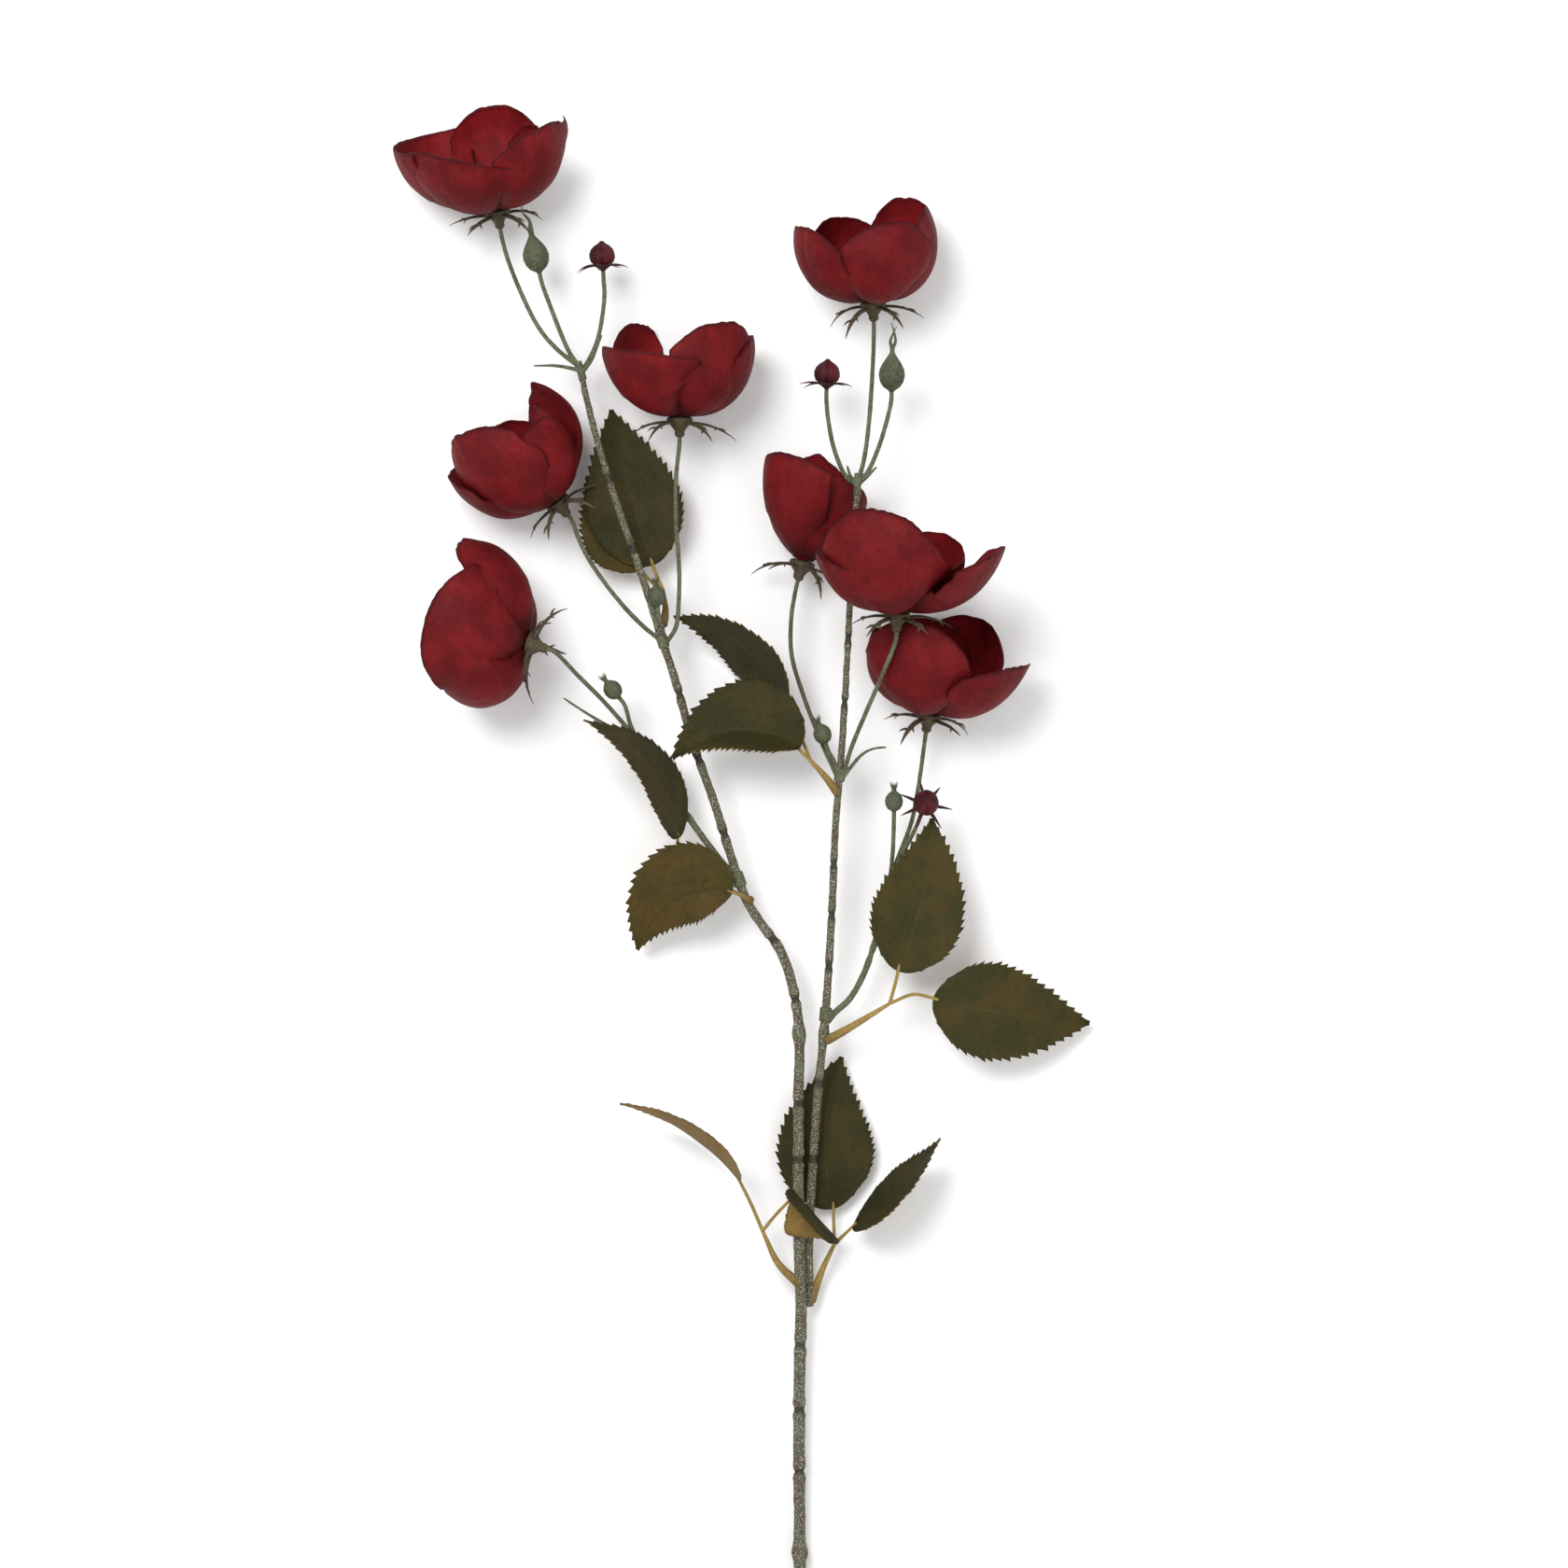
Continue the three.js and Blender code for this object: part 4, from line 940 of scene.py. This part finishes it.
def stalk_to(start, plan, head, arch=0, radius=0.95):
    """A stalk from a place on the stem to the head it carries, arched upwards on the way."""
    node, yaw, pitch = HEADS[head]
    axis = facing(yaw, pitch)[0]
    neck = (end_centre(node, -axis) - ZERO) / MM
    start = Vector(start)
    before = neck - axis * min(4, (neck - start).length / 3)
    flat = [start.xy, *(Vector(p) for p in plan), before.xy]
    lengths = [(q - p).length for p, q in zip(flat, flat[1:])]
    route = [start]
    gone = 0
    for point, length in zip(plan, lengths):
        gone += length
        share = gone / sum(lengths)
        height = start.z + (before.z - start.z) * share + arch * math.sin(math.pi * share)
        route.append(Vector((*point, height)))
    return tube([*route, before, neck + axis * 0.6], (radius, 0.9))


def bract(*route, radius=0.95):
    """A small pointed leaf at the foot of a stalk."""
    return tube(route, (radius, 0.4))


def knuckle(node, place, radius):
    """A swollen piece of a stem's own line, round a place on it."""
    line, gone = smooth_line(STEMS[node]["route"])
    near = min(range(len(line)), key=lambda i: (line[i] - Vector(place)).length)
    span = [p for p, s in zip(line, gone) if abs(s - gone[near]) < KNUCKLE_LONG / 2]
    return tube([span[0], line[near], span[-1]], (radius, radius))


TOP_LEFT = (-96.5, 396, 29)
TOP_RIGHT = (22, 346, 41.8)
LOW_LEFT_SPLIT = (-72, 237, 17)
LOW_RIGHT_SPLIT = (36.4, 178, 19.5)
CLUSTERS = {
    "stalks_top_left": [
        tube([(-95, 390.5, 29), (-96.3, 395.4, 29), (-97, 398.5, 29)], (1.75, 1.4)),
        stalk_to(
            TOP_LEFT, [(-106, 403.6), (-113.6, 412.4), (-121.2, 427), (-127.6, 443)],
            "rose_top_left",
        ),
        stalk_to(TOP_LEFT, [(-101, 402.6), (-109, 422)], "green_bud_left"),
        stalk_to((-95.6, 393.6, 29), [(-89.4, 406), (-86, 426)], "red_bud_left"),
        bract((-95.4, 393.5, 29), (-91.2, 399, 32), (-86.8, 409.2, 35)),
        bract((-96, 394.5, 29), (-105.6, 396.4, 30), (-116, 396.4, 31)),
    ],
    "stalks_top_right": [
        tube([(22, 340, 41.9), (22, 346, 41.8), (22, 350, 41.8)], (1.7, 1.3)),
        stalk_to(TOP_RIGHT, [(24.6, 355), (26.8, 370), (28.6, 394)], "rose_top_right"),
        stalk_to(TOP_RIGHT, [(26, 350), (31, 361), (34.8, 373.6)], "green_bud_right"),
        stalk_to((22, 345, 41.8), [(17.6, 348), (12.4, 359.6), (9.6, 373.6)], "red_bud_middle"),
        bract((21, 345.5, 41.8), (18.8, 349, 43.4), (17.6, 353, 44.4), radius=1.1),
        bract((23, 346, 41.8), (26.6, 349, 43.4), (30, 352.4, 44.6), radius=1.1),
    ],
    "stalks_upper_left": [
        knuckle("left_stem", (-60, 280, 26), 2.4),
        stalk_to(
            (-61, 278.6, 26), [(-70, 286), (-80, 296.6), (-92, 313), (-98, 325)],
            "rose_middle_left",
        ),
        stalk_to(
            (-59, 279, 26),
            [(-55.4, 285), (-54.2, 296), (-54, 310), (-55.4, 330.4), (-55.2, 350.8)],
            "rose_upper_left",
        ),
        stalk_to((-60.4, 279.5, 27), [(-61.2, 285.5)], "hip_upper_left", 1, 0.85),
        bract((-74, 290, 24.4), (-76, 291.6, 25.4), (-78, 294, 26.8)),
    ],
    "stalks_middle": [
        knuckle("right_stem", (15.2, 221.5, 27.2), 2.3),
        stalk_to((14, 220, 27), [(6.4, 237), (-1.6, 258), (-6, 274), (-6, 290)], "rose_middle", -4),
        stalk_to((16, 221, 27.4), [(19, 232), (24.4, 245.6), (32, 263.4)], "rose_centre", 2),
        stalk_to((14.6, 221, 28), [(12, 228)], "hip_middle", 1, 0.85),
        bract((16, 221, 28), (24.4, 230.8, 31), (29.6, 233.2, 32), (34.4, 233.6, 32)),
    ],
    "branch_low_left": [
        knuckle("left_stem", (-27.5, 177.5, 20.5), 2.7),
        tube(
            [(-27.5, 174, 20.3), (-31, 179, 20), (-36, 184.6, 19), (-43.2, 194, 17.6),
             (-49.6, 203, 16.4), (-60, 219, 15.6), (-72.6, 237.6, 17)],
            (1.5, 1.25), (40,),
        ),
        stalk_to(LOW_LEFT_SPLIT, [(-78.6, 244.6), (-86, 253), (-97.2, 264.4)], "rose_low_left"),
        stalk_to(LOW_LEFT_SPLIT, [(-75, 243.4)], "hip_low_left", 0, 0.9),
        bract(LOW_LEFT_SPLIT, (-82, 241.4, 18.6), (-96.4, 250, 21), (-103.6, 254.8, 22)),
    ],
    "branch_low_right": [
        knuckle("right_stem", (9.4, 119.5, 18), 2.6),
        tube(
            [(9.4, 116, 17.8), (12, 119.4, 18), (18.8, 125.6, 17.4), (24.8, 136, 17),
             (28.8, 147, 17), (33.2, 162, 18), (36.6, 179, 19.5)],
            (1.4, 1.2), (35,),
        ),
        stalk_to(LOW_RIGHT_SPLIT, [(40.4, 188), (45.6, 202), (48.6, 217.6)], "rose_low_right", -3),
        stalk_to(LOW_RIGHT_SPLIT, [(37.4, 190)], "hip_low_right", 0, 0.9),
        stalk_to(LOW_RIGHT_SPLIT, [(42.4, 190), (47, 199)], "red_bud_right", 1, 0.9),
    ],
}
for node, tubes in CLUSTERS.items():
    melted(node, tubes, STALK, "stalk_green", voxel=0.3, smooth=3, grow=0.06, lumps=0.22)


# %% [markdown]
# A leaf stalk clasps its stem with a broad sheath and forks to carry two leaves.

# %% Leaf stalks
def leaf_stalk(sheath, fork, first, second):
    """The tubes of one leaf stalk, and the place of its sheath in metres."""
    tubes = [
        tube([*sheath, fork], (2.1, 0.75)),
        tube([fork, *first], (0.8, 0.65)),
        tube([fork, *second], (0.75, 0.65)),
    ]
    return tubes, at(*sheath[0])


LEAF_STALKS = {
    "leaf_stalk_upper_left": leaf_stalk(
        [(-61, 286, 25), (-60, 292, 21)], (-61, 301, 19),
        [(-64.5, 309, 15), (-66.5, 315, 13.6)], [(-66, 304.6, 15), (-72, 312, 11.6)],
    ),
    "leaf_stalk_side_left": leaf_stalk(
        [(-23.6, 168, 21), (-26, 169.6, 24)], (-28, 170.6, 24.6),
        [(-36, 174.6, 17), (-46, 181.6, 15.6), (-53.6, 189.6, 22), (-54.8, 197, 30.6)],
        [(-33.5, 172.6, 26)],
    ),
    "leaf_stalk_centre": leaf_stalk(
        [(14, 214, 27), (8, 221.6, 30.6)], (2, 228, 32),
        [(-4.5, 234.6, 33)], [(-2, 238, 26), (-10.6, 252.4, 19)],
    ),
    "leaf_stalk_right": leaf_stalk(
        [(9, 108, 18), (17.2, 112.6, 21)], (36, 124, 23),
        [(39, 135, 24), (40.2, 141, 24)], [(46.4, 128, 23.4), (57, 125.6, 22)],
    ),
    "leaf_stalk_low_left": leaf_stalk(
        [(-2.6, 3, 12.5), (-11.6, 12, 14)], (-18.4, 26, 14.5),
        [(-24, 39, 14), (-32, 54.6, 15)], [(-13, 33, 18.4), (-4, 42.6, 22.4)],
    ),
    "leaf_stalk_low_right": leaf_stalk(
        [(2.4, -5, 7), (7, 8, 7)], (12.6, 20, 8),
        [(18, 25.4, 11), (22, 29.4, 13)], [(12.2, 30, 6.8), (12, 38, 6)],
    ),
}
for node, (tubes, sheath) in LEAF_STALKS.items():
    melted(
        node, tubes, OCHRE, "leaf_stalk_ochre",
        voxel=0.28, smooth=3, grow=0.05, lumps=0.12, rings=[sheath], reach=(-6, 16),
    )

# %% [markdown]
# ## Leaves
#
# A leaf runs from its stalk to its tip, and its upper side has one of three tints. "bow" bends
# the midrib to the right of that line and "rise" lifts it; "roll" turns the blade about its midrib
# and "fold" lifts both halves. "wide" and "left" are the width of the blade and of its left half,
# as shares of the usual. The edge has about twenty teeth a side that point to the tip.

# %% Leaves
LEAVES = {
    "leaf_upper_left": (
        (-65.6, 312, 14), (-83.6, 379, 6), LEAF_DARK,
        dict(bow=-1.2, rise=2, fold=6),
    ),
    "leaf_upper_left_under": (
        (-71, 310, 12), (-94, 350, 5), LEAF_BROWN,
        dict(rise=1, roll=-10, fold=4, wide=0.8),
    ),
    "leaf_side_left_curled": (
        (-54.4, 195, 30), (-94, 245, 39), LEAF_OLIVE,
        dict(bow=9.6, rise=3, roll=-66, fold=4, wide=0.95),
    ),
    "leaf_side_left": (
        (-31, 173, 26), (-72, 147, 12), LEAF_BROWN,
        dict(bow=9, rise=5, roll=4, fold=4, wide=1.1, left=0.55),
    ),
    "leaf_centre_folded": (
        (-9, 250.6, 19), (-56, 289.6, 21), LEAF_DARK,
        dict(bow=8.6, rise=2, roll=62, fold=4, wide=0.95),
    ),
    "leaf_centre": (
        (-2, 234, 33), (-56.4, 229, 32), LEAF_DARK,
        dict(bow=9.6, rise=1, roll=-23, fold=23, wide=1.05, left=0.6),
    ),
    "leaf_right_upright": (
        (39.6, 138, 24), (54, 203, 27), LEAF_OLIVE,
        dict(bow=3, rise=2, fold=5, wide=0.95),
    ),
    "leaf_right": (
        (54.8, 126, 22), (122, 115, 6), LEAF_OLIVE,
        dict(bow=1.5, rise=3, roll=4, fold=5),
    ),
    "leaf_low_left_curled": (
        (-28.5, 48, 15), (-79, 81, 21), LEAF_DARK,
        dict(bow=5.4, rise=4, roll=-102, fold=8, wide=0.75),
    ),
    "leaf_low_twisted": (
        (-5, 44, 22.5), (14, 22.6, 20), LEAF_DARK,
        dict(rise=6, roll=113, fold=-40, wide=0.85),
    ),
    "leaf_low_back": (
        (12, 35, 6.4), (15.6, 100, 4.5), LEAF_DARK,
        dict(bow=-5, fold=2),
    ),
    "leaf_low_right_folded": (
        (20.5, 27.5, 12.5), (57.4, 66, 24), LEAF_DARK,
        dict(bow=2, rise=3, roll=72, fold=4, wide=0.8),
    ),
}
LEAF_WIDE = 42
LEAF_THICK = 0.4
TEETH = 19
TOOTH = 2.3


def blade_half(v):
    """Half the width of a blade at v, as a share of the widest."""
    oval = math.sin(math.pi * min(1, v) ** 0.72)
    return max(0.02, max(0, oval) ** 0.8 * (1 - 0.25 * v**3) + 0.04 * (1 - v))


def leaf_shape(first, last, seed, bow=0, rise=0, roll=0, fold=0, wide=1, left=1):
    """The surface of one leaf, in metres."""
    base = at(*first)
    tip = at(*last)
    line = (tip - base).normalized()
    right = line.cross(UP).normalized()
    control = (base + tip) / 2 + (right * 2 * bow + UP * 2 * rise) * MM

    def place(u, v):
        middle = base * (1 - v) ** 2 + control * 2 * v * (1 - v) + tip * v**2
        along = ((control - base) * (1 - v) + (tip - control) * v).normalized()
        side = along.cross(UP).normalized()
        face = side.cross(along)
        turn = math.radians(roll)
        across = side * math.cos(turn) + face * math.sin(turn)
        normal = face * math.cos(turn) - side * math.sin(turn)
        half = wide * LEAF_WIDE / 2 * blade_half(v) * (left if u < 0 else 1)
        beat = (v * TEETH) % 1
        uneven = 0.8 + 0.4 * rough(math.floor(v * TEETH), seed, u)
        tooth = beat**1.3 * TOOTH * ramp(v, 0.04, 0.16) * uneven
        edge = ramp(abs(u), 0.86, 1)
        reach = u * (half + edge * (tooth - 0.5 * TOOTH) * ramp(v, 0.02, 0.1))
        forward = edge * beat * 1.2
        lift = math.radians(fold)
        soft = math.sqrt(u * u + 0.01) - 0.1
        up = half * soft * math.sin(lift)
        up += 0.9 * rough(u * 1.5 + seed, v * 3, seed) * abs(u) ** 0.5
        up += 0.5 * edge * rough(u * 2, v * 9, seed)
        return middle + (across * reach * math.cos(lift) + normal * up + along * forward) * MM

    return place


for number, (name, (first, last, top, how)) in enumerate(LEAVES.items()):
    leaf = sheet(
        f"{name}_visual", 22, TEETH * 7,
        leaf_shape(first, last, number * 5.1, **how), LEAF_THICK * MM, [top, LEAF_UNDER],
    )
    stands_for(leaf, "leaf_green", name)
print("leaves:", len(LEAVES))

# %% [markdown]
# ## Floor, light and camera
#
# The spray lies on a pale floor under soft light, and the camera looks straight down on it.

# %% Floor
bpy.ops.object.select_all(action="DESELECT")
bpy.ops.mesh.primitive_plane_add(size=8, location=(0, 0, 0))
floor = bpy.context.object
floor.name = "floor"
pale = bpy.data.materials.new("pale_floor")
pale.use_nodes = True
shader = pale.node_tree.nodes["Principled BSDF"]
shader.inputs["Base Color"].default_value = (0.9, 0.9, 0.9, 1)
shader.inputs["Roughness"].default_value = 0.9
floor.data.materials.append(pale)


# %% Light
def area_light(name, place, size, power):
    """A round soft light that shines at the middle of the floor."""
    bpy.ops.object.light_add(type="AREA", location=place)
    lamp = bpy.context.object
    lamp.name = name
    lamp.data.shape = "DISK"
    lamp.data.size = size
    lamp.data.energy = power
    lamp.rotation_euler = (-Vector(place)).to_track_quat("-Z", "Y").to_euler()


area_light("key", (-0.55, 0.75, 1.7), 0.9, 26)
area_light("fill", (1.2, -0.5, 1.5), 1.4, 8)
world = bpy.data.worlds.new("studio")
world.use_nodes = True
world.node_tree.nodes["Background"].inputs[0].default_value = (1, 1, 1, 1)
world.node_tree.nodes["Background"].inputs[1].default_value = 0.75
bpy.context.scene.world = world
bpy.context.scene.view_settings.view_transform = "Standard"

# %% Camera
VIEW_CENTRE = at(-9.2, 218, 0)
WIDE_SHOWN = 0.672  # width of what the camera shows, in metres, at FOCUS_HEIGHT over the table
FOCUS_HEIGHT = 0.02
DISTANCE = 2.4
SENSOR = 36
camera_place = (VIEW_CENTRE.x, VIEW_CENTRE.y, DISTANCE + FOCUS_HEIGHT)
bpy.ops.object.camera_add(location=camera_place, rotation=(0, 0, 0))
camera = bpy.context.object
camera.data.sensor_width = SENSOR
camera.data.lens = SENSOR * DISTANCE / WIDE_SHOWN
bpy.context.scene.camera = camera
print("camera at", [round(c, 3) for c in camera_place], "lens", round(camera.data.lens, 1))
